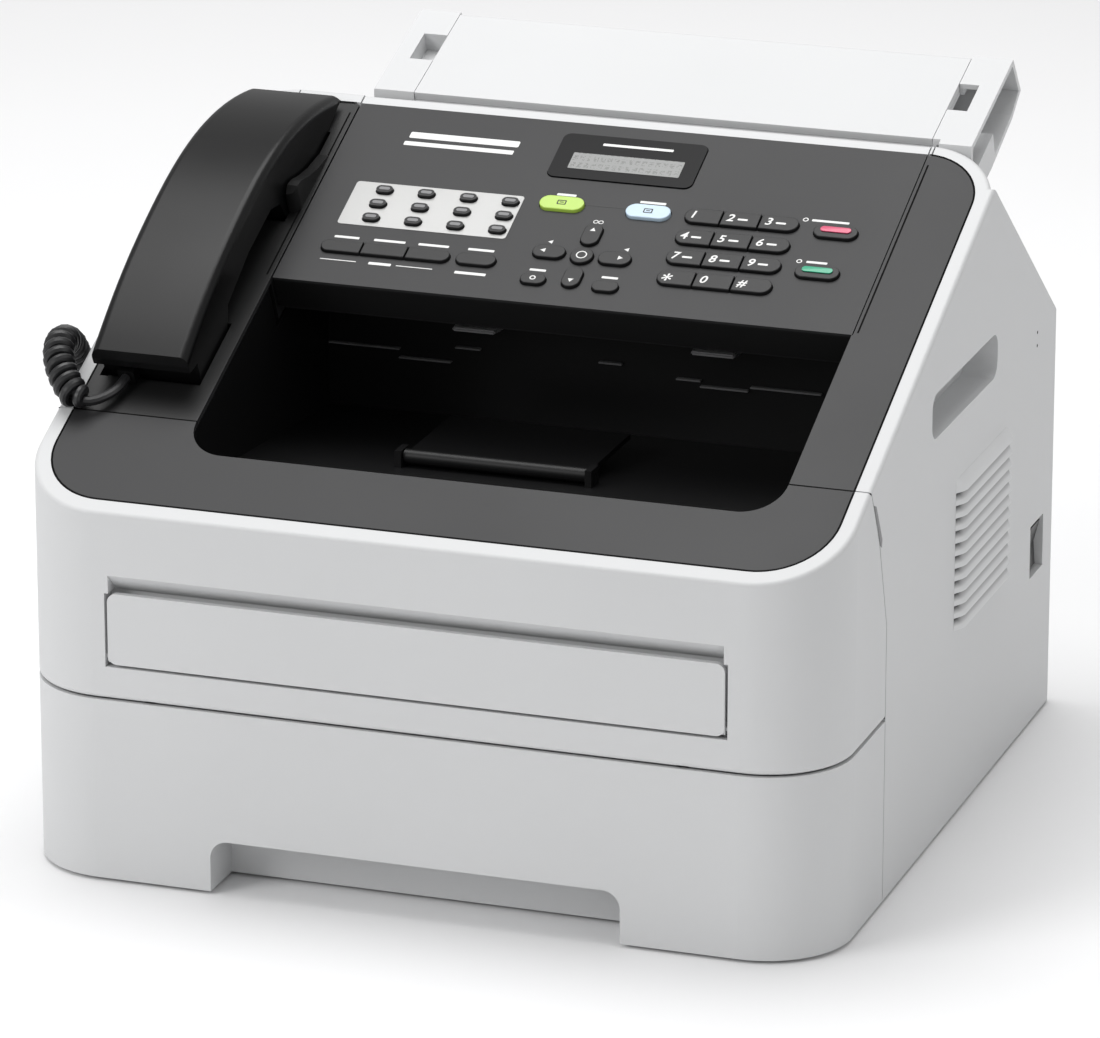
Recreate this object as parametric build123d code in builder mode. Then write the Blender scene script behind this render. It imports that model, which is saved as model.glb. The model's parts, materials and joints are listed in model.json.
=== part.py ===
"""Desktop fax machine with a handset, a sloping keypad panel and a front paper tray. Millimetres.

The origin is the middle of the footprint at the floor, +Z up, +X to the user's right, and the front
faces -Y. The whole top is one plane that rises to the rear, so its pieces are drawn in deck coordinates:
x as in the machine, v up the slope from the front edge, n out of the surface.
"""

import os
from math import cos, radians, sin, tan

from build123d import *

os.makedirs("parts", exist_ok=True)

# Overall size and the casing
width = 368.0
depth = 360.0
front_height = 168.6
deck_angle = 24.0
deck_rear_y = 88.0  # where the raised middle of the deck ends
ridge_y = 63.0  # where the sides start to fall to the rear
rear_slope_end_z = 185.4
rear_shoulder = 9.0
front_corner = 38.5
rear_corner = 8.0
deck_corner = 36.0
wall = 2.5
rim = 7.0  # the pale border round the dark deck
seam = 0.7  # gap between casing pieces
fit = 0.3  # clearance where one piece sits in another
foot_height = 1.6
edge_soft = 2.0

# Seams
tray_top = 83.7
seam_back = 83.3  # from the front face to the upright seam
seam_bend_z = 127.0
seam_mid_back = 70.6
seam_mid_z = 168.0
seam_top_back = 57.4
seam_top_z = 194.2

# Manual feed door in the front cover
door_width = 277.4
door_low = 100.3
door_high = 132.3
grip_high = 140.5
door_gap = 1.3
door_thick = 3.0
pocket_depth = 9.0
slit_width = 226.0
slit_height = 11.0

# Paper tray
grip_width = 186.0
grip_height = 25.0
grip_depth = 25.0
bin_width = 226.0
bin_height = 56.0
bin_rear_y = 150.0
tray_wall = 2.0

# Output bin and its flap
bin_left = -119.3
bin_right = 147.9
bin_front_v = 43.0
bin_back_y = 38.0
bin_corner = 18.0
floor_front_z = 178.0
floor_mid = (-72.0, 163.0)
floor_back_z = 152.0
flap_width = 84.0
flap_x = -5.5
flap_front_y = -61.0
flap_length = 63.0
flap_z = 167.4
flap_thick = 2.4

# Control panel
panel_low_v = 161.0
panel_rear_y = 87.6
panel_depth = 16.0
key_rise = 1.6
key_gap = 0.35
key_root = 4.6
hinge_v = 285.3
hinge_drop = 3.4
hinge_pin = 1.5

# Document tray behind the panel
feed_left = -116.5
feed_right = 166.0
feed_angle = 19.0
feed_top_z = 311.0
feed_wall = 2.5
slot_y = 3.2  # width of the document slot
flap_left = -97.0
flap_right = 147.0
support_thick = 3.6

# Handset
hand_left = -172.0
hand_right = -127.0
hand_soft = 4.0

# Curly cord
curl_diameter = 14.0
lead_diameter = 4.6

# Inner frame
frame_x = 150.0
frame_wall = 3.0
shelf_z = 86.0
shelf_thick = 3.0
plate_front_y = -171.0
plate_rear_y = 165.0
top_plate_z = 140.0
roller_y = -105.0
roller_z = 72.0
roller_r = 12.0
roller_shaft_r = 4.0
base_top = 4.0
running = 0.05  # radial play of a pin in its hole

half_w = width / 2
half_d = depth / 2
slope = tan(radians(deck_angle))
seam_y = seam_back - half_d
seam_mid = (seam_mid_back - half_d, seam_mid_z)
seam_top = (seam_top_back - half_d, seam_top_z)
deck_cos = cos(radians(deck_angle))
deck_sin = sin(radians(deck_angle))
front_y = -half_d
ridge_z = front_height + slope * (ridge_y + half_d)
deck_rear_z = front_height + slope * (deck_rear_y + half_d)
cover_low = tray_top + seam
far = 600.0

deck = Plane(origin=(0, front_y, front_height), x_dir=(1, 0, 0), z_dir=(0, -deck_sin, deck_cos))


def deck_point(x, v, n):
    """The machine coordinates of a point given in deck coordinates."""
    return deck.from_local_coords(Vector(x, v, n))


def save(builder, name):
    """Labels one finished piece and writes it."""
    builder.part.label = name
    export_step(builder.part, "parts/" + name + ".step")


def box_between(low, high, mode=Mode.ADD):
    """A block from its lowest to its highest corner."""
    size = [b - a for a, b in zip(low, high)]
    middle = tuple((a + b) / 2 for a, b in zip(low, high))
    with Locations(middle):
        Box(*size, mode=mode)


def side_prism(points, x_low, x_high, mode=Mode.ADD):
    """A profile of (y, z) points carried from x_low to x_high."""
    with BuildSketch(Plane.YZ.offset(x_low)) as profile:
        Polygon(*points, align=None)
    extrude(profile.sketch, amount=x_high - x_low, mode=mode)


def x_rod(radius, x_low, x_high, y, z, mode=Mode.ADD):
    """A round rod along X."""
    with BuildSketch(Plane.YZ.offset(x_low)) as section:
        with Locations((y, z)):
            Circle(radius)
    extrude(section.sketch, amount=x_high - x_low, mode=mode)


def deck_block(x_low, x_high, v_low, v_high, n_low, n_high, mode=Mode.ADD):
    """A block lying square to the deck."""
    with BuildSketch(deck.offset(n_low)) as plan:
        with Locations(((x_low + x_high) / 2, (v_low + v_high) / 2)):
            Rectangle(x_high - x_low, v_high - v_low)
    extrude(plan.sketch, amount=n_high - n_low, mode=mode)


def deck_pin(x_low, x_high, v, n, radius, mode=Mode.ADD):
    """A round rod along X, placed in deck coordinates."""
    centre = deck_point(0, v, n)
    x_rod(radius, x_low, x_high, centre.Y, centre.Z, mode)


def plan_prism(rear_y, rear_radius, inset, low, high):
    """The footprint from the front face to rear_y, drawn smaller by inset all round, as a prism."""
    with BuildPart() as prism:
        with BuildSketch(Plane.XY.offset(low)) as plan:
            with Locations((0, (front_y + rear_y) / 2)):
                Rectangle(width - 2 * inset, rear_y - front_y - 2 * inset)
            fillet(plan.vertices().group_by(Axis.Y)[0], front_corner - inset)
            fillet(plan.vertices().group_by(Axis.Y)[-1], max(rear_radius - inset, 1.0))
        extrude(amount=high - low)
    return prism.part


def profile_prism(points, inset, bottom, rounded=False):
    """A side profile of (y, z) points, offset inwards by inset and cut off at bottom, as a wide prism.

    Rounded takes the rear shoulder's corner off."""
    with BuildPart() as prism:
        with BuildSketch(Plane.YZ.offset(-half_w - 20)) as profile:
            Polygon(*points, align=None)
            if inset:
                offset(amount=-inset, kind=Kind.INTERSECTION)
            if rounded:
                shoulder = profile.vertices().sort_by_distance((half_d, rear_slope_end_z, 0))[0]
                fillet(shoulder, rear_shoulder - inset)
            with Locations((0, bottom - far / 2)):
                Rectangle(far, far, mode=Mode.SUBTRACT)
        extrude(amount=width + 40)
    return prism.part


def envelope(inset, bottom):
    """The closed outer form of the machine, drawn smaller by inset."""
    low_base = [(front_y, -far / 4), (front_y, front_height)]
    falling = low_base + [(ridge_y, ridge_z), (half_d, rear_slope_end_z), (half_d, -far / 4)]
    raised = low_base + [(deck_rear_y, deck_rear_z), (deck_rear_y, -far / 4)]
    with BuildPart() as form:
        add(plan_prism(half_d, rear_corner, inset, -far / 4, far))
        add(profile_prism(falling, inset, bottom, True), mode=Mode.INTERSECT)
        with BuildPart(mode=Mode.PRIVATE) as middle:
            add(plan_prism(deck_rear_y, deck_corner, inset, -far / 4, far))
            add(profile_prism(raised, inset, bottom), mode=Mode.INTERSECT)
        add(middle.part)
    return form.part


def dark_zone(inset):
    """A tall prism over the dark part of the deck, drawn smaller by inset."""
    return plan_prism(deck_rear_y, deck_corner, rim + inset, front_height - 30, far)


def front_zone(shift, low):
    """Everything in front of the casing's upright seam and above low, moved back by shift."""
    lean = seam_top[1] + 40
    points = [
        (front_y - 50, low),
        (seam_y + shift, low),
        (seam_y + shift, seam_bend_z),
        (seam_mid[0] + shift, seam_mid[1]),
        (seam_top[0] + shift, seam_top[1]),
        (seam_top[0] + shift - 40 * slope, lean),
        (front_y - 50, lean),
    ]
    with BuildPart() as zone:
        side_prism(points, -half_w - 20, half_w + 20)
    return zone.part


def bin_prism(grow, low=floor_back_z - 20):
    """The output bin's plan, drawn larger by grow, as a tall prism."""
    front = deck_point(0, bin_front_v, 0).Y
    with BuildPart() as prism:
        with BuildSketch(Plane.XY.offset(low)) as plan:
            with Locations(((bin_left + bin_right) / 2, (front + bin_back_y) / 2)):
                Rectangle(bin_right - bin_left, bin_back_y - front)
            fillet(plan.vertices().group_by(Axis.Y)[0], bin_corner)
            if grow:
                offset(amount=grow)
        extrude(amount=far / 4)
    return prism.part


with BuildPart() as outer:
    add(envelope(0, foot_height))
    deck_face = outer.faces().filter_by(lambda f: f.normal_at().Z > 0.9 and f.normal_at().Y < -0.3)
    fillet(deck_face.edges(), edge_soft)

with BuildPart() as shell:
    add(outer.part)
    add(envelope(wall, -far / 4), mode=Mode.SUBTRACT)

# Front cover: hinged along its lower front edge, on an axis at the middle of that edge's rounding
cover_hinge_r = 3.0
cover_hinge = (front_y + cover_hinge_r, cover_low + cover_hinge_r)
lug_x = 120.0
lug_width = 5.0
lug_r = 1.9
cover_pin = 1.0


pocket_half = door_width / 2 + door_gap
pocket_back = front_y + pocket_depth
door_axis = (front_y + door_thick, door_low + door_thick)
door_pin = 1.2

with BuildPart() as front_cover:
    add(shell.part)
    add(front_zone(0, cover_low), mode=Mode.INTERSECT)
    add(dark_zone(0), mode=Mode.SUBTRACT)
    low_edges = front_cover.edges().group_by(Axis.Z)[0].group_by(Axis.Y)[0]
    fillet(low_edges, wall * 0.96)
    # Bead along the bottom edge that carries the hinge pins
    bead_half = half_w - front_corner - 12
    bead = [
        (front_y + wall / 2, cover_low + 0.4),
        (front_y + 7, cover_low + 0.4),
        (front_y + 7, cover_low + 6.4),
        (front_y + wall / 2, cover_low + 6.4),
    ]
    side_prism(bead, -bead_half, bead_half)
    # Pocket of the manual feed door, with a sloping finger grip above the door
    box_between(
        (-pocket_half - wall, front_y + wall / 2, door_low - door_gap - wall),
        (pocket_half + wall, pocket_back + wall, grip_high + wall),
    )
    box_between(
        (-pocket_half, front_y - 1, door_low - door_gap),
        (pocket_half, pocket_back, door_high),
        Mode.SUBTRACT,
    )
    grip = [(front_y - 1, door_high - 1), (pocket_back, door_high - 1), (front_y - 1, grip_high + 1)]
    side_prism(grip, -pocket_half + 1.8, pocket_half - 1.8, Mode.SUBTRACT)
    box_between(
        (-slit_width / 2, front_y, door_low + 11),
        (slit_width / 2, pocket_back + 10, door_low + 11 + slit_height),
        Mode.SUBTRACT,
    )
    x_rod(door_pin + running, -pocket_half - 2, pocket_half + 2, *door_axis, Mode.SUBTRACT)
    # Slots in the bead for the frame's hinge lugs, each crossed by a pin
    for side in (-1, 1):
        middle = side * lug_x
        box_between(
            (middle - lug_width / 2 - fit, cover_hinge[0] - 2.2, cover_low - 1),
            (middle + lug_width / 2 + fit, front_y + 12, cover_hinge[1] + 3.2),
            Mode.SUBTRACT,
        )
        x_rod(cover_pin, middle - lug_width / 2 - 2, middle + lug_width / 2 + 2, *cover_hinge)
save(front_cover, "front_cover")

with BuildPart() as manual_feed_cover:
    box_between((-door_width / 2, front_y, door_low), (door_width / 2, front_y + door_thick, door_high))
    outline = manual_feed_cover.edges().filter_by(Axis.Y)
    fillet(outline, 4.0)
    # Side cheeks that carry the door's pins
    for side in (-1, 1):
        inner = side * (door_width / 2 - 4)
        cheek = sorted((inner, side * door_width / 2))
        x_rod(door_thick, *cheek, *door_axis)
        pin = sorted((inner, side * (pocket_half + 1.6)))
        x_rod(door_pin, *pin, *door_axis)
    with Locations((0, front_y + door_thick + 0.8, door_high - 6)):
        Box(door_width - 30, 1.6, 2.0)
save(manual_feed_cover, "manual_feed_cover")

with BuildPart() as front_trim:
    add(shell.part)
    add(front_zone(0, cover_low), mode=Mode.INTERSECT)
    add(dark_zone(fit), mode=Mode.INTERSECT)
    add(bin_prism(0), mode=Mode.SUBTRACT)
save(front_trim, "front_trim")

# Paper tray
grip_back = front_y + grip_depth
with BuildPart() as paper_tray:
    add(shell.part)
    add(front_zone(0, 0), mode=Mode.INTERSECT)
    box_between((-half_w, front_y, tray_top), (half_w, half_d, far), Mode.SUBTRACT)
    with BuildPart(mode=Mode.PRIVATE) as floor:
        add(plan_prism(half_d, rear_corner, wall / 2, foot_height, foot_height + tray_wall))
        box_between((-half_w, seam_y - 4, 0), (half_w, half_d, far), Mode.SUBTRACT)
    add(floor.part)
    outer_half = bin_width / 2 + tray_wall
    bin_front = grip_back + tray_wall
    box_between((-outer_half, grip_back, foot_height), (outer_half, bin_rear_y, bin_height))
    box_between(
        (-bin_width / 2, bin_front, foot_height + tray_wall),
        (bin_width / 2, bin_rear_y - tray_wall, far),
        Mode.SUBTRACT,
    )
    # Cross web that closes the space behind the front wall
    box_between(
        (-half_w + wall / 2, seam_y - 6, foot_height),
        (-outer_half + 1, seam_y - 4, bin_height),
    )
    box_between((outer_half - 1, seam_y - 6, foot_height), (half_w - wall / 2, seam_y - 4, bin_height))
    # Recess under the front edge that gives a grip
    box_between(
        (-grip_width / 2 - tray_wall, front_y + 1, foot_height),
        (grip_width / 2 + tray_wall, grip_back + 1, grip_height + tray_wall),
    )
    with BuildSketch(Plane.XZ.offset(-front_y + 5)) as grip_face:
        with Locations((0, grip_height / 2 - 5)):
            Rectangle(grip_width, grip_height + 10)
        fillet(grip_face.vertices().group_by(Axis.Z)[-1], 8.0)
    extrude(amount=-grip_depth - 5 + 0.01, mode=Mode.SUBTRACT)
save(paper_tray, "paper_tray")

lift_hinge_y = 45.0
lift_z = 11.0
lift_front_y = -118.0
with BuildPart() as lift_plate:
    half = bin_width / 2 - 1.0
    box_between((-half, lift_front_y, lift_z - 0.8), (half, lift_hinge_y, lift_z + 0.8))
    with Locations((0, (lift_front_y + lift_hinge_y) / 2, lift_z)):
        with GridLocations(150, 90, 2, 2):
            Box(34, 40, 6, mode=Mode.SUBTRACT)
    x_rod(1.6, -half, half, lift_hinge_y, lift_z)
save(lift_plate, "lift_plate")

# Side covers: everything behind the upright seam, with the rear panel's stretch taken out
rear_half = 150.0
vent_low = 89.5
vent_high = 159.0
vent_front = 9.0
vent_back = 92.0
vent_count = 12
handle_y = (-31.0, 73.0)
handle_z = (188.5, 209.0)
handle_depth = 18.0
switch_y = (136.0, 158.0)
switch_z = (72.5, 97.5)
jack_y = 62.0
jack_z = 72.0
jack_size = 12.0


def rear_region(grow):
    """The middle of the casing's rear, drawn larger by grow."""
    with BuildPart() as region:
        box_between((-rear_half - grow, deck_rear_y - rim - 12, 0), (rear_half + grow, half_d + 1, far))
    return region.part


def side_cover(side):
    """One side casing with its rim, grip recess, louvres and, on the right, the power switch recess."""
    outer_x = side * half_w
    inner_x = side * (half_w - wall)
    with BuildPart() as cover:
        add(shell.part)
        with BuildPart(mode=Mode.PRIVATE) as keep:
            xs = sorted((side * 60.0, side * (half_w + 1)))
            box_between((xs[0], front_y, 0), (xs[1], half_d + 1, far))
            add(front_zone(seam, -5), mode=Mode.SUBTRACT)
            add(rear_region(seam / 2), mode=Mode.SUBTRACT)
        add(keep.part, mode=Mode.INTERSECT)
        add(dark_zone(0), mode=Mode.SUBTRACT)
        # Grip recess
        deep = sorted((side * (half_w - handle_depth), side * (half_w - wall / 2)))
        box_between(
            (deep[0], handle_y[0] - wall, handle_z[0] - wall),
            (deep[1], handle_y[1] + wall, handle_z[1] + wall),
        )
        with BuildSketch(Plane.YZ.offset(outer_x)) as mouth:
            with Locations(((handle_y[0] + handle_y[1]) / 2, (handle_z[0] + handle_z[1]) / 2)):
                RectangleRounded(handle_y[1] - handle_y[0], handle_z[1] - handle_z[0], 7.0)
        extrude(amount=-side * (handle_depth - wall), mode=Mode.SUBTRACT)
        extrude(mouth.sketch, amount=side * 2, mode=Mode.SUBTRACT)
        # Louvres: a window crossed by tilted slats
        window = sorted((side * (half_w - 2 * wall), side * (half_w + 1)))
        box_between((window[0], vent_front, vent_low), (window[1], vent_back, vent_high), Mode.SUBTRACT)
        pitch = (vent_high - vent_low) / vent_count
        for count in range(vent_count):
            low = vent_low - 0.5 + pitch * count
            blade = [
                (outer_x, low),
                (outer_x, low + pitch * 0.36),
                (inner_x - side * 1.2, low + pitch * 1.0),
                (inner_x - side * 1.2, low + pitch * 0.64),
            ]
            with BuildSketch(Plane.XZ.offset(-vent_front + 1)):
                Polygon(*blade, align=None)
            extrude(amount=-(vent_back - vent_front + 2))
        # Foot flange that meets the base of the frame
        flange = sorted((side * (half_w - 8), side * (half_w - wall / 2)))
        box_between((flange[0], seam_y + seam + 2, 4.0), (flange[1], half_d - rear_corner - 2, 6.0))
        if side > 0:
            pocket = (half_w - 12.0, half_w - wall / 2)
            box_between(
                (pocket[0], switch_y[0] - wall, switch_z[0] - wall),
                (pocket[1], switch_y[1] + wall, switch_z[1] + wall),
            )
            box_between(
                (pocket[0] + wall, switch_y[0], switch_z[0]),
                (half_w + 1, switch_y[1], switch_z[1]),
                Mode.SUBTRACT,
            )
            with BuildSketch(Plane.XZ.offset(-switch_y[0] + 1.6)):
                with Locations((half_w - 6.0, (switch_z[0] + switch_z[1]) / 2)):
                    Circle(1.5 + running)
            extrude(amount=-(switch_y[1] - switch_y[0] + 3.2), mode=Mode.SUBTRACT)
        else:
            block = (-half_w + wall / 2, -half_w + 14.0)
            reach = jack_size / 2
            box_between(
                (block[0], jack_y - reach - 2, jack_z - reach - 2),
                (block[1], jack_y + reach + 2, jack_z + reach + 2),
            )
            box_between(
                (-half_w - 1, jack_y - reach, jack_z - reach),
                (-half_w + 11, jack_y + reach, jack_z + reach),
                Mode.SUBTRACT,
            )
    return cover


right_cover = side_cover(1)
save(right_cover, "right_cover")
left_cover = side_cover(-1)
save(left_cover, "left_cover")

with BuildPart() as power_switch:
    middle_z = (switch_z[0] + switch_z[1]) / 2
    axis_x = half_w - 6.0
    rocker = [
        (axis_x - 2.4, middle_z - 10.4),
        (axis_x + 3.4, middle_z - 10.8),
        (axis_x + 2.6, middle_z),
        (axis_x + 5.4, middle_z + 10.8),
        (axis_x + 0.6, middle_z + 10.4),
        (axis_x - 2.4, middle_z + 3),
    ]
    with BuildSketch(Plane.XZ.offset(-switch_y[0] - 3.5)):
        Polygon(*rocker, align=None)
    extrude(amount=-(switch_y[1] - switch_y[0] - 7.0))
    with BuildSketch(Plane.XZ.offset(-switch_y[0] + 1.2)):
        with Locations((axis_x, middle_z)):
            Circle(1.5)
    extrude(amount=-(switch_y[1] - switch_y[0] + 2.4))
save(power_switch, "power_switch")

# Rear panel with its jam door and sockets
door_half = 122.0
door_z = (72.0, 164.0)
rear_axis_r = 3.0
rear_axis = (half_d - rear_axis_r, door_z[0] + rear_axis_r)
inlet_x = 112.0
socket_z = 42.0
jack_xs = (-132.0, -114.0)
usb_x = -92.0
with BuildPart() as rear_panel:
    add(shell.part)
    add(rear_region(-seam / 2), mode=Mode.INTERSECT)
    add(dark_zone(0), mode=Mode.SUBTRACT)
    # Keep only what stands behind the deck's opening, and lower it behind the control panel
    box_between((-half_w, front_y, 0), (half_w, deck_rear_y - rim, far), Mode.SUBTRACT)
    lowered = deck_rear_z - 14
    box_between((bin_left, front_y, lowered), (bin_right + 0.8, deck_rear_y + 1, far), Mode.SUBTRACT)
    deck_pin(bin_left - 3, bin_right + 3, hinge_v, -hinge_drop, hinge_pin + running, Mode.SUBTRACT)
    box_between(
        (-door_half - seam, half_d - 2 * wall, door_z[0] - seam),
        (door_half + seam, half_d + 1, door_z[1] + seam),
        Mode.SUBTRACT,
    )
    for side in (-1, 1):
        ear = sorted((side * (door_half + seam), side * (door_half + seam + 4)))
        box_between(
            (ear[0], half_d - 9, rear_axis[1] - 6),
            (ear[1], half_d - wall / 2, rear_axis[1] + 6),
        )
    x_rod(1.5 + running, -door_half - 4, door_half + 4, *rear_axis, Mode.SUBTRACT)
    box_between(
        (inlet_x - 14, half_d - 5, socket_z - 12),
        (inlet_x + 14, half_d + 1, socket_z + 12),
        Mode.SUBTRACT,
    )
    for jack_x in (*jack_xs, usb_x):
        box_between(
            (jack_x - 7, half_d - 5, socket_z - 7),
            (jack_x + 7, half_d + 1, socket_z + 7),
            Mode.SUBTRACT,
        )
save(rear_panel, "rear_panel")

with BuildPart() as rear_cover:
    box_between((-door_half, half_d - 3.0, door_z[0]), (door_half, half_d, door_z[1]))
    fillet(rear_cover.edges().filter_by(Axis.X).group_by(Axis.Z)[0].sort_by(Axis.Y)[-1:], 2.5)
    for offset_x in range(-100, 101, 40):
        box_between(
            (offset_x - 1, half_d - 10, door_z[0] + 9),
            (offset_x + 1, half_d - 2.9, door_z[1] - 6),
        )
    for side in (-1, 1):
        pin = sorted((side * (door_half - 6), side * (door_half + 3)))
        x_rod(1.5, *pin, *rear_axis)
save(rear_cover, "rear_cover")

with BuildPart() as rear_sockets:
    box_between(
        (inlet_x - 13.6, half_d - 22, socket_z - 11.6),
        (inlet_x + 13.6, half_d - 0.6, socket_z + 11.6),
    )
    box_between(
        (inlet_x - 10, half_d - 16, socket_z - 8),
        (inlet_x + 10, half_d + 1, socket_z + 8),
        Mode.SUBTRACT,
    )
    for pin_x, pin_z in ((-6, -2), (0, 2), (6, -2)):
        box_between(
            (inlet_x + pin_x - 1, half_d - 17, socket_z + pin_z - 2),
            (inlet_x + pin_x + 1, half_d - 6, socket_z + pin_z + 2),
        )
    for jack_x, hole in zip((*jack_xs, usb_x), (5.0, 5.0, 4.2)):
        box_between(
            (jack_x - 6.7, half_d - 18, socket_z - 6.7),
            (jack_x + 6.7, half_d - 0.6, socket_z + 6.7),
        )
        box_between(
            (jack_x - hole, half_d - 14, socket_z - hole),
            (jack_x + hole, half_d + 1, socket_z + hole),
            Mode.SUBTRACT,
        )
save(rear_sockets, "rear_sockets")

# Top cover: the dark deck behind the front strip, with the handset's wells and the panel's side skirts
panel_high_v = (deck_rear_y - front_y) / deck_cos + 1.0
skirt_high_v = 282.0
panel_left = bin_left + 0.8
panel_right = bin_right + 0.1
well_low = (86.0, 128.0)
well_high = (199.0, 263.2)
well_wall = 1.6
hook_x = -150.0
hook_v = 108.0
hand_well_left = hand_left - 1.0
hand_well_right = hand_right + 1.0
collar_x = (-126.0, -121.2)
collar_line = ((205.5, 10.5), (209, 13), (214, 12), (222, 8), (232, 4), (246, 0.6), (246, -wall / 2))


with BuildPart() as top_cover:
    add(shell.part)
    add(front_zone(seam, cover_low), mode=Mode.SUBTRACT)
    add(dark_zone(fit), mode=Mode.INTERSECT)
    add(bin_prism(0), mode=Mode.SUBTRACT)
    deck_block(bin_left, bin_right + 0.6, panel_low_v, 320, -wall - 5, 5, Mode.SUBTRACT)
    for well in (well_low, well_high):
        outer_xs = (hand_well_left - well_wall, hand_well_right + well_wall)
        deck_block(*outer_xs, well[0] - well_wall, well[1] + well_wall, -9, -wall / 2)
        deck_block(hand_well_left, hand_well_right, well[0], well[1], -9 + wall, 1, Mode.SUBTRACT)
    deck_block(hook_x - 4.4, hook_x + 4.4, hook_v - 7.4, hook_v + 7.4, -10, 0, Mode.SUBTRACT)
    # Side skirts beside the control panel
    deck_block(bin_left - 2.4, bin_left - 0.2, panel_low_v, panel_high_v, -24, -wall / 2)
    deck_block(bin_right + 0.8, bin_right + 3.0, panel_low_v, panel_high_v, -24, -wall / 2)
    # Lower guide of the document path, which ties the two sides together
    deck_block(bin_left - 2.4, bin_right + 3.0, 169, 262, -24, -22)
    box_between((-half_w, deck_rear_y - wall - fit, 0), (half_w, half_d, far), Mode.SUBTRACT)
    deck_block(-half_w, half_w, skirt_high_v + 2, panel_high_v, -wall - fit, 5, Mode.SUBTRACT)
    deck_pin(bin_left - 3, bin_right + 3.6, hinge_v, -hinge_drop, hinge_pin + running, Mode.SUBTRACT)
    # Collar that locates the earpiece end of the handset
    collar_plane = Plane(origin=(collar_x[0], front_y, front_height), x_dir=deck.y_dir, z_dir=(1, 0, 0))
    with BuildSketch(collar_plane):
        Polygon((collar_line[0][0], -wall / 2), *collar_line, align=None)
    extrude(amount=collar_x[1] - collar_x[0])
    upright_edges = top_cover.edges().filter_by(Axis((0, 0, 0), tuple(deck.z_dir)))
    corner = deck_point(collar_x[1], collar_line[0][0], 5)
    fillet(upright_edges.sort_by_distance(corner)[0], 3.8)
save(top_cover, "top_cover")

# Output bin
with BuildPart() as output_bin:
    add(bin_prism(2.0))
    front_in = deck_point(0, bin_front_v, 0).Y
    floor_line = [(front_in - 30, floor_front_z + 6.4), floor_mid, (bin_back_y + 40, floor_back_z)]
    below = [(y, z - 2.2) for y, z in floor_line]
    side_prism(below + [(bin_back_y + 40, 0), (front_in - 30, 0)], -half_w, half_w, Mode.SUBTRACT)
    with BuildPart(mode=Mode.PRIVATE) as hollow:
        add(bin_prism(0))
        side_prism(floor_line + [(bin_back_y + 40, 0), (front_in - 30, 0)], -half_w, half_w, Mode.SUBTRACT)
    add(hollow.part, mode=Mode.SUBTRACT)
    # The walls stop under the deck, and lower still under the control panel
    roof = -wall - 0.5
    deck_block(-half_w, half_w, -60, panel_low_v - 4, roof, 200, Mode.SUBTRACT)
    deck_block(-half_w, half_w, panel_low_v - 4.01, 400, -26, 200, Mode.SUBTRACT)
    # Ribs that stand on the frame's top plate
    for rib_x in (bin_left + 8, 0.0, bin_right - 8):
        rib = [(-52.0, top_plate_z), (30.0, top_plate_z), (30.0, floor_back_z + 2), (-52.0, floor_back_z + 8)]
        side_prism(rib, rib_x - 1, rib_x + 1)
    # Two bosses that carry the flap's pins
    for side in (-1, 1):
        boss = sorted((flap_x + side * (flap_width / 2 + 0.4), flap_x + side * (flap_width / 2 + 3.4)))
        box_between(
            (boss[0], flap_front_y - 1, floor_back_z + 4),
            (boss[1], flap_front_y + 9, flap_z + 2.4),
        )
    x_rod(
        1.5 + running,
        flap_x - flap_width / 2 - 3.5,
        flap_x + flap_width / 2 + 3.5,
        flap_front_y + 4,
        flap_z - 1.2,
        Mode.SUBTRACT,
    )
save(output_bin, "output_bin")

with BuildPart() as output_flap:
    left = flap_x - flap_width / 2
    right = flap_x + flap_width / 2
    box_between(
        (left, flap_front_y + 4, flap_z - flap_thick),
        (right, flap_front_y + flap_length, flap_z),
    )
    x_rod(3.4, left, right, flap_front_y + 4, flap_z - 1.2)
    x_rod(1.5, left - 3.2, right + 3.2, flap_front_y + 4, flap_z - 1.2)
    for rib_x in (left + 14, flap_x, right - 14):
        box_between(
            (rib_x - 1, flap_front_y + 8, flap_z - flap_thick - 2),
            (rib_x + 1, flap_front_y + flap_length - 6, flap_z - 1),
        )
save(output_flap, "output_flap")

# Keys: name, centre x, centre v, length along x, length along v
dial_rows = (228.0, 213.4, 199.6, 185.4)
dial_left = 52.8
dial_right = 105.0
dial_splits = (69.7, 87.2)
dial_height = 9.4
dial_names = ("1", "2", "3", "4", "5", "6", "7", "8", "9", "star", "0", "hash")
function_v = 185.0
function_edges = (-103.5, -84.4, -63.4, -43.3)
function_height = 7.6
single_keys = (
    ("key_fax", -4.5, 228.0, 20.6, 9.0),
    ("key_copy", 35.8, 227.7, 20.6, 9.0),
    ("key_stop", 122.5, 226.0, 20.0, 8.6),
    ("key_start", 121.9, 198.3, 20.0, 8.6),
    ("key_up", 15.3, 209.0, 8.4, 14.4),
    ("key_down", 15.5, 179.4, 8.4, 13.2),
    ("key_left", -0.1, 194.9, 15.0, 8.4),
    ("key_right", 30.4, 194.5, 15.0, 8.4),
    ("key_clear", -1.6, 176.0, 11.6, 7.0),
    ("key_menu", 31.8, 175.5, 12.0, 7.0),
    ("key_options", -31.0, 185.0, 18.4, 7.6),
)
one_touch_xs = (-87.4, -67.6, -47.7, -28.0)
one_touch_vs = (226.0, 216.3, 206.5)
one_touch_size = (7.6, 4.6)
ok_x = 15.3
ok_v = 194.2
ok_r = 5.2
flange_low = -key_root
flange_high = -wall - 0.4


def pill(x, v, along, across):
    """A round-ended outline in the current sketch."""
    turn = 0 if along >= across else 90
    with Locations((x, v)):
        SlotOverall(max(along, across), min(along, across), rotation=turn)


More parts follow.
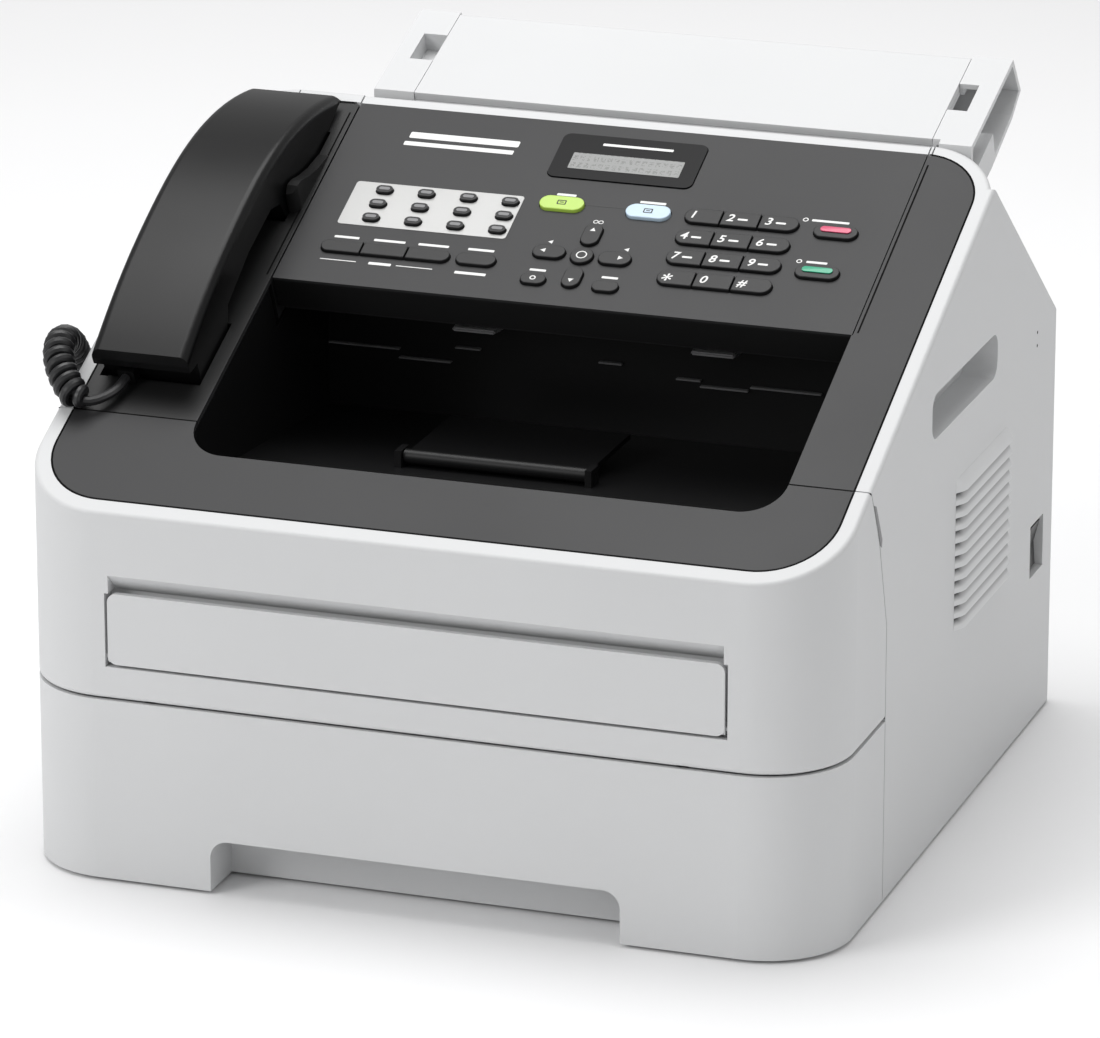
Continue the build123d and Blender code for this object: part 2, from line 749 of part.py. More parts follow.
def row_key(x_low, x_high, v, height, row_low, row_high):
    """The outline of one key of a row that is cut from one round-ended bar."""
    with BuildSketch() as outline:
        pill((row_low + row_high) / 2, v, row_high - row_low, height)
        with Locations(((x_low + x_high) / 2, v)):
            Rectangle(x_high - x_low, height * 2, mode=Mode.INTERSECT)
    return outline.sketch


def key_block(outline, flange_size, centre):
    """A key: its cap standing out of the panel, and a flange below that keeps it in."""
    with BuildPart() as key:
        with BuildSketch(deck.offset(flange_low)):
            add(outline)
        extrude(amount=key_rise - flange_low)
        fillet(key.faces().sort_by(Axis((0, 0, 0), tuple(deck.z_dir)))[-1].edges(), 0.5)
        with BuildSketch(deck.offset(flange_low)):
            with Locations(centre):
                Rectangle(*flange_size)
        extrude(amount=flange_high - flange_low)
    return key


def row_spans(edges, gap):
    """The low and high x of each key between neighbouring edges."""
    spans = []
    for count in range(len(edges) - 1):
        low = edges[count] + (gap if count else 0)
        high = edges[count + 1] - (gap if count < len(edges) - 2 else 0)
        spans.append((low, high))
    return spans


dial_edges = (dial_left, *dial_splits, dial_right)
with BuildPart() as control_panel:
    deck_block(panel_left, panel_right, panel_low_v, panel_high_v, -panel_depth, 0)
    box_between((-half_w, panel_rear_y, 0), (half_w, half_d, far), Mode.SUBTRACT)
    fillet(control_panel.edges().filter_by(Axis.X).sort_by(Axis.Z)[-1:], 2.2)
    deck_block(
        panel_left + wall,
        panel_right - wall,
        panel_low_v + wall,
        panel_high_v,
        -panel_depth - 1,
        -wall,
        Mode.SUBTRACT,
    )
    deck_block(
        -half_w,
        half_w,
        skirt_high_v,
        panel_high_v,
        -panel_depth - 1,
        -wall - 2.6,
        Mode.SUBTRACT,
    )
    for side_x in ((panel_left - 3.1, panel_left + wall), (panel_right - wall, panel_right + 2.2)):
        deck_pin(*side_x, hinge_v, -hinge_drop, hinge_pin)
    with BuildSketch(deck.offset(-2 * wall)):
        for name, x, v, along, across in single_keys:
            pill(x, v, along + 2 * key_gap, across + 2 * key_gap)
        with Locations((ok_x, ok_v)):
            Circle(ok_r + key_gap)
        dial_middle = (dial_left + dial_right) / 2
        dial_length = dial_right - dial_left
        for v in dial_rows:
            pill(dial_middle, v, dial_length + 2 * key_gap, dial_height + 2 * key_gap)
        row_middle = (function_edges[0] + function_edges[-1]) / 2
        row_length = function_edges[-1] - function_edges[0]
        pill(row_middle, function_v, row_length + 2 * key_gap, function_height + 2 * key_gap)
        for x in one_touch_xs:
            for v in one_touch_vs:
                pill(x, v, one_touch_size[0] + 2 * key_gap, one_touch_size[1] + 2 * key_gap)
        with Locations((15.75, 261.75)):
            RectangleRounded(67.7 + 2 * fit, 30.5 + 2 * fit, 4.0)
    extrude(amount=3 * wall, mode=Mode.SUBTRACT)
save(control_panel, "control_panel")

with BuildPart() as display:
    with BuildSketch(deck.offset(-wall)):
        with Locations((15.75, 261.75)):
            RectangleRounded(67.7, 30.5, 3.8)
    extrude(amount=wall + 0.6)
    deck_block(-24, 55.5, 244, 279.5, -wall - 1.6, -wall)
save(display, "display")

for name, x, v, along, across in single_keys:
    with BuildSketch() as outline:
        pill(x, v, along, across)
    if along >= across:
        flange = (along - across + 1.0, across + 2.2)
    else:
        flange = (along + 2.2, across - along + 1.0)
    save(key_block(outline.sketch, flange, (x, v)), name)

with BuildSketch() as ok_outline:
    with Locations((ok_x, ok_v)):
        Circle(ok_r)
save(key_block(ok_outline.sketch, (4.0, 12.0), (ok_x, ok_v)), "key_ok")

dial_spans = row_spans(dial_edges, key_gap / 2 + 0.1)
for count, name in enumerate(dial_names):
    x_low, x_high = dial_spans[count % 3]
    v = dial_rows[count // 3]
    outline = row_key(x_low, x_high, v, dial_height, dial_left, dial_right)
    inner = (max(x_low, dial_left + 4.4), min(x_high, dial_right - 4.4))
    key = key_block(outline, (inner[1] - inner[0], dial_height + 2.2), (sum(inner) / 2, v))
    save(key, "key_" + name)

function_spans = row_spans(function_edges, key_gap / 2 + 0.1)
for name, (x_low, x_high) in zip(("hook", "redial", "resolution"), function_spans):
    row = (function_edges[0], function_edges[-1])
    outline = row_key(x_low, x_high, function_v, function_height, *row)
    inner = (max(x_low, row[0] + 3.6), min(x_high, row[1] - 3.6))
    key = key_block(outline, (inner[1] - inner[0], function_height + 2.2), (sum(inner) / 2, function_v))
    save(key, "key_" + name)

with BuildPart() as one_touch_keys:
    deck_block(-93.5, -21.9, 202.0, 230.5, flange_low, flange_low + 0.9)
    with BuildSketch(deck.offset(flange_low)):
        for x in one_touch_xs:
            for v in one_touch_vs:
                pill(x, v, *one_touch_size)
    extrude(amount=key_rise - flange_low)
save(one_touch_keys, "one_touch_keys")

# Document tray and its folding support
feed = Plane(
    origin=(0, deck_rear_y, deck_rear_z),
    x_dir=(1, 0, 0),
    z_dir=(0, -sin(radians(feed_angle)), cos(radians(feed_angle))),
)
feed_length = (feed_top_z - deck_rear_z) / sin(radians(feed_angle))
top_y = deck_rear_y + feed_length * cos(radians(feed_angle))
slope_at_rear = ridge_z + (rear_slope_end_z - ridge_z) * (deck_rear_y - ridge_y) / (half_d - ridge_y)
feed_profile = [
    (deck_rear_y, deck_rear_z),
    (top_y, feed_top_z),
    (top_y + 14, feed_top_z - 17.7),
    (top_y, feed_top_z - 27.6),
    (122.0, 268.8),
    (deck_rear_y, slope_at_rear + 1.0),
]
support_v = (3.2, feed_length - 1.0)
support_axis_v = feed_length - 1.0 - support_thick / 2
support_axis = feed.from_local_coords(Vector(0, support_axis_v, -support_thick / 2))


def feed_block(x_low, x_high, v_low, v_high, n_low, n_high, mode=Mode.ADD):
    """A block lying square to the document tray's surface."""
    with BuildSketch(feed.offset(n_low)) as plan:
        with Locations(((x_low + x_high) / 2, (v_low + v_high) / 2)):
            Rectangle(x_high - x_low, v_high - v_low)
    extrude(plan.sketch, amount=n_high - n_low, mode=mode)


with BuildPart() as document_tray:
    side_prism(feed_profile, feed_left, feed_right)
    with BuildSketch(Plane.YZ) as inside:
        Polygon(*feed_profile, align=None)
        offset(amount=-feed_wall, kind=Kind.INTERSECTION)
        with Locations(((deck_rear_y + 122) / 2, 262)):
            Rectangle(50, 30, rotation=20, mode=Mode.SUBTRACT)
    extrude_from = feed_left + feed_wall
    with BuildSketch(Plane.YZ.offset(extrude_from)):
        add(inside.sketch)
    extrude(amount=feed_right - feed_left - 2 * feed_wall, mode=Mode.SUBTRACT)
    # Seat of the folding support, its hinge holes and the finger notches beside it
    seat_low = -support_thick - fit
    seat_edges = (flap_left - fit, flap_right + fit)
    feed_block(seat_edges[0] - 1.6, seat_edges[1] + 1.6, support_v[0] - 1.6, feed_length, seat_low - 2, 6)
    feed_block(feed_left - 20, feed_right + 20, -5, feed_length + 30, 0, 20, Mode.SUBTRACT)
    feed_block(*seat_edges, support_v[0] - 1.2, feed_length + 30, seat_low, 6, Mode.SUBTRACT)
    box_between(
        (feed_left - 1, deck_rear_y - 1, deck_rear_z - 14),
        (151.0, deck_rear_y + slot_y, far),
        Mode.SUBTRACT,
    )
    x_rod(
        1.0 + running,
        flap_left - 3.2,
        flap_right + 3.2,
        support_axis.Y,
        support_axis.Z,
        Mode.SUBTRACT,
    )
    feed_block(-108.5, flap_left, 30, 51, -9, 6, Mode.SUBTRACT)
    feed_block(flap_right, 156.5, 27, 48, -9, 6, Mode.SUBTRACT)
save(document_tray, "document_tray")

with BuildPart() as document_support:
    feed_block(flap_left, flap_right, support_v[0], support_axis_v, -support_thick, 0)
    x_rod(support_thick / 2, flap_left, flap_right, support_axis.Y, support_axis.Z)
    x_rod(1.0, flap_left - 3, flap_right + 3, support_axis.Y, support_axis.Z)
save(document_support, "document_support")

# Handset, drawn on a plane whose own x runs up the deck and whose own y stands out of it
hand_side = Plane(origin=(hand_left, front_y, front_height), x_dir=(0, deck_cos, deck_sin), z_dir=(1, 0, 0))
hand_top = (
    (81.5, 19.2), (105, 25.5), (132, 30.5), (158, 33.0),
    (191, 33.6), (221, 30.0), (250, 21.5), (281, 6.5),
)
hand_part = (
    (81, 14.2), (105, 17.5), (132, 21.0), (158, 23.0),
    (191, 23.2), (221, 20.0), (250, 13.0), (282, 3.5),
)
hand_under = (
    (263.5, 1.0), (257, -3), (204, -3), (200, 9), (190, 14), (160, 14),
    (130, 9), (124, -3), (90, -3), (90, 9), (81.3, 10.8),
)
hand_width = hand_right - hand_left

with BuildPart() as handset_back:
    with BuildSketch(hand_side):
        with BuildLine():
            Spline(*hand_top)
            Line(hand_top[-1], hand_part[-1])
            Spline(*hand_part)
            Line(hand_part[0], hand_top[0])
        make_face()
    extrude(amount=hand_width)
    crown = handset_back.edges().filter_by(lambda e: hand_side.to_local_coords(e @ 0.5).Y > 27)
    fillet(crown, hand_soft)
save(handset_back, "handset_back")

with BuildPart() as handset_face:
    with BuildSketch(hand_side):
        with BuildLine():
            Spline(*hand_part)
            Polyline(hand_part[-1], *hand_under, hand_part[0])
        make_face()
    extrude(amount=hand_width)
save(handset_face, "handset_face")

plug_x = -158.0
plug_low_v = 81.6
plug_n = 4.4
with BuildPart() as handset_plug:
    deck_block(plug_x - 3.8, plug_x + 3.8, plug_low_v, 90.0, plug_n - 3.2, plug_n + 3.2)
save(handset_plug, "handset_plug")

with BuildPart() as hook_switch:
    deck_block(hook_x - 4, hook_x + 4, hook_v - 7, hook_v + 7, -14.6, -3.4)
    deck_block(hook_x - 6, hook_x + 6, hook_v - 9, hook_v + 9, -14.6, -13.0)
save(hook_switch, "hook_switch")


def cord_line(points):
    """A cord's axis through hand-placed points: straight runs joined by arcs as large as they allow."""
    radii = []
    for before, here, after in zip(points, points[1:], points[2:]):
        run_in = Vector(*here) - Vector(*before)
        run_out = Vector(*after) - Vector(*here)
        half_turn = radians(run_in.get_angle(run_out)) / 2
        radii.append(0.45 * min(run_in.length, run_out.length) / tan(half_turn))
    print("cord radii", [round(r, 1) for r in radii])
    with BuildLine() as path:
        FilletPolyline(*points, radius=radii)
    print("cord length", round(path.wire().length, 1))
    return path.wire()


def cord_tube(points, diameter):
    """The plain round tube of one stretch of cord."""
    line = cord_line(points)
    with BuildPart() as tube:
        with BuildSketch(Plane(origin=line @ 0, z_dir=line % 0)) as section:
            Circle(diameter / 2)
        sweep(section.sketch, path=line)
    share = tube.part.volume / (line.length * 3.14159265 * diameter**2 / 4)
    print("cord volume share", round(share, 4))
    return tube.part


plug_exit = deck_point(plug_x, plug_low_v - fit, plug_n)
curl_start = (-175.0, -125.5, 201.2)
curl_end = (-194.0, 59.0, 44.0)
plug_tip_x = -half_w - 13.0
upper_lead = [
    tuple(plug_exit),
    (-158.5, -113.7, 203.0),
    (-162.5, -120.5, 200.3),
    (-169.0, -126.0, 198.6),
    curl_start,
]
curl = [
    curl_start,
    (-181.2, -121.0, 206.6),
    (-186.5, -115.0, 212.5),
    (-190.0, -106.0, 217.0),
    (-191.8, -95.0, 216.5),
    (-192.6, -84.0, 210.0),
    (-193.4, -73.0, 195.0),
    (-193.0, -63.0, 168.0),
    (-192.8, -58.0, 140.0),
    (-192.8, -52.0, 108.0),
    (-193.0, -41.0, 72.0),
    (-193.4, -20.0, 42.0),
    (-193.8, 12.0, 25.0),
    (-194.0, 43.0, 28.0),
    curl_end,
]
lower_lead = [
    curl_end,
    (-198.5, jack_y - 0.5, jack_z - 16.0),
    (-206.0, jack_y, jack_z - 8.0),
    (-206.5, jack_y, jack_z),
    (plug_tip_x, jack_y, jack_z),
]
with BuildPart() as handset_cord:
    add(cord_tube(upper_lead, lead_diameter))
    add(cord_tube(curl, curl_diameter))
    add(cord_tube(lower_lead, lead_diameter))
save(handset_cord, "handset_cord")

with BuildPart() as base_plug:
    box_between((plug_tip_x, jack_y - 3.8, jack_z - 3.2), (-half_w + 10, jack_y + 3.8, jack_z + 3.2))
    box_between((plug_tip_x + 2, jack_y - 1.6, jack_z - 5.0), (-half_w + 4, jack_y + 1.6, jack_z - 3.2))
save(base_plug, "base_plug")

# Inner frame
base_side = half_w - wall - fit
with BuildPart() as chassis:
    base_front = seam_y + seam + 3
    base_rear = half_d - wall - fit
    rail_in = bin_width / 2 + tray_wall + 3
    for side in (-1, 1):
        rail = sorted((side * rail_in, side * base_side))
        box_between((rail[0], base_front, foot_height), (rail[1], half_d - rear_corner - 1, base_top))
        bracket_front = roller_y - 14
        frame = [
            (base_front, foot_height),
            (plate_rear_y, foot_height),
            (plate_rear_y, top_plate_z),
            (bracket_front, top_plate_z),
            (bracket_front, bin_height + 4),
            (base_front, bin_height + 4),
        ]
        across = sorted((side * (frame_x - frame_wall), side * frame_x))
        side_prism(frame, *across)
    bar_half = half_w - rear_corner - 1
    box_between((-bar_half, bin_rear_y + 4, foot_height), (bar_half, base_rear, base_top))
    box_between((-frame_x, roller_y - 14, shelf_z), (frame_x, plate_rear_y, shelf_z + shelf_thick))
    box_between(
        (-frame_x + 10, plate_front_y, shelf_z),
        (frame_x - 10, roller_y - 13, shelf_z + shelf_thick),
    )
    box_between(
        (-slit_width / 2, -150, shelf_z - 1),
        (slit_width / 2, -132, shelf_z + shelf_thick + 1),
        Mode.SUBTRACT,
    )
    box_between((-frame_x, -60, top_plate_z - 2), (frame_x, 76, top_plate_z))
    # Lugs of the front cover's hinge
    for side in (-1, 1):
        middle = side * lug_x
        low_x, high_x = middle - lug_width / 2, middle + lug_width / 2
        box_between(
            (low_x, cover_hinge[0], cover_hinge[1] - lug_r),
            (high_x, plate_front_y + 4, cover_hinge[1] + lug_r),
        )
        x_rod(lug_r, low_x, high_x, *cover_hinge)
    x_rod(cover_pin + running, -lug_x - lug_width, lug_x + lug_width, *cover_hinge, Mode.SUBTRACT)
    x_rod(roller_shaft_r + running, -frame_x - 1, frame_x + 1, roller_y, roller_z, Mode.SUBTRACT)
save(chassis, "chassis")

with BuildPart() as pickup_roller:
    x_rod(roller_shaft_r, -frame_x + 0.5, frame_x - 0.5, roller_y, roller_z)
    for low_x in (-32, 8):
        x_rod(roller_r, low_x, low_x + 24, roller_y, roller_z)
    x_rod(roller_r - 3, frame_x - 10, frame_x - frame_wall - 1, roller_y, roller_z)
save(pickup_roller, "pickup_roller")

inside_z = shelf_z + shelf_thick
with BuildPart() as toner_cartridge:
    x_rod(20.0, -118, 118, -112.0, inside_z + 21)
    box_between((-118, -112, inside_z + 1), (118, -80, inside_z + 30))
    x_rod(7.0, -112, 112, -79.0, inside_z + 10)
    box_between((-24, -150, inside_z + 22), (24, -128, inside_z + 27))
save(toner_cartridge, "toner_cartridge")

with BuildPart() as drum_unit:
    box_between((-128, -62, inside_z), (128, 34, inside_z + 26))
    box_between((-122, -54, inside_z + 3), (122, 28, inside_z + 30), Mode.SUBTRACT)
    x_rod(12.0, -124, 124, -38.0, inside_z + 14.4)
    x_rod(6.0, -124, 124, -4.0, inside_z + 10)
save(drum_unit, "drum_unit")

with BuildPart() as laser_unit:
    box_between((-110, -44, top_plate_z - 20), (110, 64, top_plate_z - 2))
    with Locations((-20, 20, top_plate_z - 21)):
        Cylinder(22, 4)
save(laser_unit, "laser_unit")

with BuildPart() as fuser_unit:
    box_between((-128, 82, inside_z), (128, 142, inside_z + 44))
    box_between((-118, 90, inside_z + 4), (118, 134, inside_z + 50), Mode.SUBTRACT)
    x_rod(12.0, -119, 119, 112.0, inside_z + 15.4)
    x_rod(12.0, -119, 119, 112.0, inside_z + 39.2)
save(fuser_unit, "fuser_unit")

with BuildPart() as circuit_boards:
    for side in (-1, 1):
        stand = sorted((side * frame_x, side * (frame_x + 5)))
        board = sorted((side * (frame_x + 5), side * (frame_x + 6.6)))
        for post_y in (-50, 110):
            for post_z in (20, 110):
                x_rod(3.0, *stand, post_y, post_z)
        box_between((board[0], -60, 12), (board[1], 120, 120))
        tall = sorted((side * (frame_x + 6.6), side * (frame_x + 16)))
        blocks = ((-40, 30, 30, 30), (10, 60, 24, 24), (50, 24, 40, 16), (60, 80, 18, 26))
        for low_y, low_z, long_y, long_z in blocks:
            box_between((tall[0], low_y, low_z), (tall[1], low_y + long_y, low_z + long_z))
save(circuit_boards, "circuit_boards")

with BuildPart() as rubber_feet:
    for foot_y in (seam_y + 20, half_d - 16):
        for foot_x in (-half_w + 20, half_w - 20):
            with Locations((foot_x, foot_y, foot_height / 2)):
                Cylinder(8.0, foot_height)
save(rubber_feet, "rubber_feet")
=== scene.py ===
import json
import math

import bmesh
import bpy
from mathutils import Matrix, Vector


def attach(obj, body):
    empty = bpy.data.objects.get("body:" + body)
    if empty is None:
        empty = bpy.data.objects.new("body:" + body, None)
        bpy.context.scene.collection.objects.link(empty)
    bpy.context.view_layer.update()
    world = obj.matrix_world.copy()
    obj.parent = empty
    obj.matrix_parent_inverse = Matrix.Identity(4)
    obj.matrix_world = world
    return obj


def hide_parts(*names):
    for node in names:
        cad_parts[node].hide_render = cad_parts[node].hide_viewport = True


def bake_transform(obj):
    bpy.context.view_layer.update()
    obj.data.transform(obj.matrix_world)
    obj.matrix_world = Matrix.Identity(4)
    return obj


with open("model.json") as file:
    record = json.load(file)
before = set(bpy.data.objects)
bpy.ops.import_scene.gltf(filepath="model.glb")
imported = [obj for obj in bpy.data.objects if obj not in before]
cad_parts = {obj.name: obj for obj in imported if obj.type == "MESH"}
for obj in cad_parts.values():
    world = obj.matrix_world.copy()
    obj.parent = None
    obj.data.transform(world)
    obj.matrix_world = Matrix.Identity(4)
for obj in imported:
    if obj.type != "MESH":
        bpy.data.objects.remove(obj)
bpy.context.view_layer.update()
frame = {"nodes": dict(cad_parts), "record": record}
nodes = frame["nodes"]
scene = bpy.context.scene
mm = 0.001
deckAngle = math.radians(24)
deckOrigin = Vector((0, -0.180, 0.1686))
deckUp = Vector((0, math.cos(deckAngle), math.sin(deckAngle)))
deckOut = Vector((0, -math.sin(deckAngle), math.cos(deckAngle)))
deckMatrix = Matrix.Translation(deckOrigin) @ Matrix(
    ((1, 0, 0), tuple(deckUp), tuple(deckOut))
).transposed().to_4x4()


def deckBox(node):  # lowest and highest deck coordinates of a CAD node, in millimetres
    local = deckMatrix.inverted()
    points = [local @ v.co for v in nodes[node].data.vertices]
    low = Vector([min(p[k] for p in points) for k in range(3)]) / mm
    high = Vector([max(p[k] for p in points) for k in range(3)]) / mm
    return low, high


# Camera
azimuth = math.radians(19.081)
elevation = math.radians(18.423)
camera = bpy.data.objects.new("photoCamera", bpy.data.cameras.new("photoCamera"))
scene.collection.objects.link(camera)
camera.data.sensor_width = 36
camera.data.lens = 228.74
camera.data.clip_start = 0.1
camera.data.clip_end = 50
back = Vector((
    math.sin(azimuth) * math.cos(elevation),
    -math.cos(azimuth) * math.cos(elevation),
    math.sin(elevation),
))
right = Vector((math.cos(azimuth), math.sin(azimuth), 0))
up = back.cross(right)
camera.matrix_world = Matrix.Translation((0.96373, -2.78729, 1.10671)) @ Matrix(
    (right, up, back)
).transposed().to_4x4()
scene.camera = camera
print("camera placed")


# Shader maths
class Signal:
    def __init__(self, tree, socket):
        self.tree = tree
        self.socket = socket

    def join(self, kind, other=None, clamp=False):
        node = self.tree.nodes.new("ShaderNodeMath")
        node.operation = kind
        node.use_clamp = clamp
        self.tree.links.new(self.socket, node.inputs[0])
        if isinstance(other, Signal):
            self.tree.links.new(other.socket, node.inputs[1])
        elif other is not None:
            node.inputs[1].default_value = other
        return Signal(self.tree, node.outputs[0])

    def __add__(self, other):
        return self.join("ADD", other)

    def __sub__(self, other):
        return self.join("SUBTRACT", other)

    def __mul__(self, other):
        return self.join("MULTIPLY", other)

    def over(self, other):
        return self.join("GREATER_THAN", other)

    def under(self, other):
        return self.join("LESS_THAN", other)

    def fract(self):
        return self.join("FRACT")

    def held(self):
        return self.join("ADD", 0.0, True)


def noiseOf(tree, coords, scale, detail=3.0, stretch=(1, 1, 1)):
    mapping = tree.nodes.new("ShaderNodeMapping")
    mapping.inputs["Scale"].default_value = stretch
    tree.links.new(coords, mapping.inputs["Vector"])
    noise = tree.nodes.new("ShaderNodeTexNoise")
    noise.inputs["Scale"].default_value = scale
    noise.inputs["Detail"].default_value = detail
    tree.links.new(mapping.outputs["Vector"], noise.inputs["Vector"])
    return Signal(tree, noise.outputs[0])


def blendOf(tree, share, first, second):
    node = tree.nodes.new("ShaderNodeMix")
    node.data_type = "RGBA"
    tree.links.new(share.socket, node.inputs[0])
    for slot, value in ((6, first), (7, second)):
        if isinstance(value, Signal):
            tree.links.new(value.socket, node.inputs[slot])
        else:
            node.inputs[slot].default_value = (*value, 1)
    return Signal(tree, node.outputs[2])


plain = {
    "metallic": 0.0,
    "coat": 0.0,
    "cloud": 9.0,
    "cloudDepth": 0.5,
    "grain": 2600.0,
    "grainDepth": 0.00002,
    "stretch": (1, 1, 1),
    "spread": 0.08,
    "specular": 0.5,
}


def makeMaterial(name, colour, shade, roughness, masks=(), **extra):
    s = {**plain, **extra}
    material = bpy.data.materials.new(name)
    material.use_nodes = True
    tree = material.node_tree
    bsdf = tree.nodes["Principled BSDF"]
    coords = tree.nodes.new("ShaderNodeTexCoord").outputs["Object"]
    cloud = noiseOf(tree, coords, s["cloud"], 4.0)
    fine = noiseOf(tree, coords, s["grain"], 2.0, s["stretch"])
    share = ((cloud - 0.5) * (2 * s["cloudDepth"]) + 0.5 + (fine - 0.5) * 0.35).held()
    tint = blendOf(tree, share, shade, colour)
    rough = (cloud - 0.5) * (2 * s["spread"]) + (fine - 0.5) * s["spread"] + roughness
    for mask in masks:
        here = mask["where"](tree, coords)
        tint = blendOf(tree, here, tint, mask["colour"])
        rough = rough + here * (mask["roughness"] - roughness)
    tree.links.new(tint.socket, bsdf.inputs["Base Color"])
    tree.links.new(rough.held().socket, bsdf.inputs["Roughness"])
    bsdf.inputs["Metallic"].default_value = s["metallic"]
    bsdf.inputs["Coat Weight"].default_value = s["coat"]
    bsdf.inputs["Coat Roughness"].default_value = 0.08
    bsdf.inputs["Specular IOR Level"].default_value = s["specular"]
    bump = tree.nodes.new("ShaderNodeBump")
    bump.inputs["Strength"].default_value = 0.6
    bump.inputs["Distance"].default_value = s["grainDepth"]
    tree.links.new(fine.socket, bump.inputs["Height"])
    tree.links.new(bump.outputs["Normal"], bsdf.inputs["Normal"])
    return material


def axesOf(tree, coords):
    split = tree.nodes.new("ShaderNodeSeparateXYZ")
    tree.links.new(coords, split.inputs[0])
    return [Signal(tree, output) for output in split.outputs]


def rearStrip(tree, coords):
    x, y, z = axesOf(tree, coords)
    return ((y - 0.0806) * 9000.0).held()


# Painted shade: panel surfaces more than 1.2 mm below the deck plane, in its recesses, turn near black
def belowDeckPaintedShade(tree, coords):
    x, y, z = axesOf(tree, coords)
    depth = (y - deckOrigin.y) * math.sin(deckAngle) - (z - deckOrigin.z) * math.cos(deckAngle)
    return ((depth - 0.0012) * 2500.0).held()


def handsetSide(tree, coords):
    x, y, z = axesOf(tree, coords)
    return ((x + 0.1195) * -4000.0).held()


louvreSettings = {
    "length": 83.0,
    "pitch": 5.79,
    "proud": 3.2,
    "thick": 0.9,
    "count": 12,
    "low": 89.5,
    "middle": 50.5,
}


# Painted shade: darkens the upper part of each slat, under the overhang of the slat above, more so towards
# the front ends
def slatPaintedShade(tree, coords):
    x, y, z = axesOf(tree, coords)
    s = louvreSettings
    rise = (z - s["low"] * mm) * (1 / (s["pitch"] * mm))
    front = ((y - (s["middle"] - s["length"] / 2 + 7.5) * mm) * -260.0).held()
    body = rise.under(s["count"] - 0.75)
    return ((rise.fract() - 0.34) * 1.9).held() * (front * 0.45 + 0.55) * body


def cellGrid(tree, coords):
    x, y, z = axesOf(tree, coords)
    v = y * math.cos(deckAngle) + z * math.sin(deckAngle)
    across = (x * 310.0).fract()
    along = (v * 210.0).fract()
    dots = (x * 1550.0).fract().over(0.2) * (v * 1470.0).fract().over(0.2)
    cell = across.over(0.12) * across.under(0.84) * along.over(0.2) * along.under(0.86)
    patchy = noiseOf(tree, coords, 900.0, 1.0).over(0.5)
    return cell * dots * patchy * 0.55


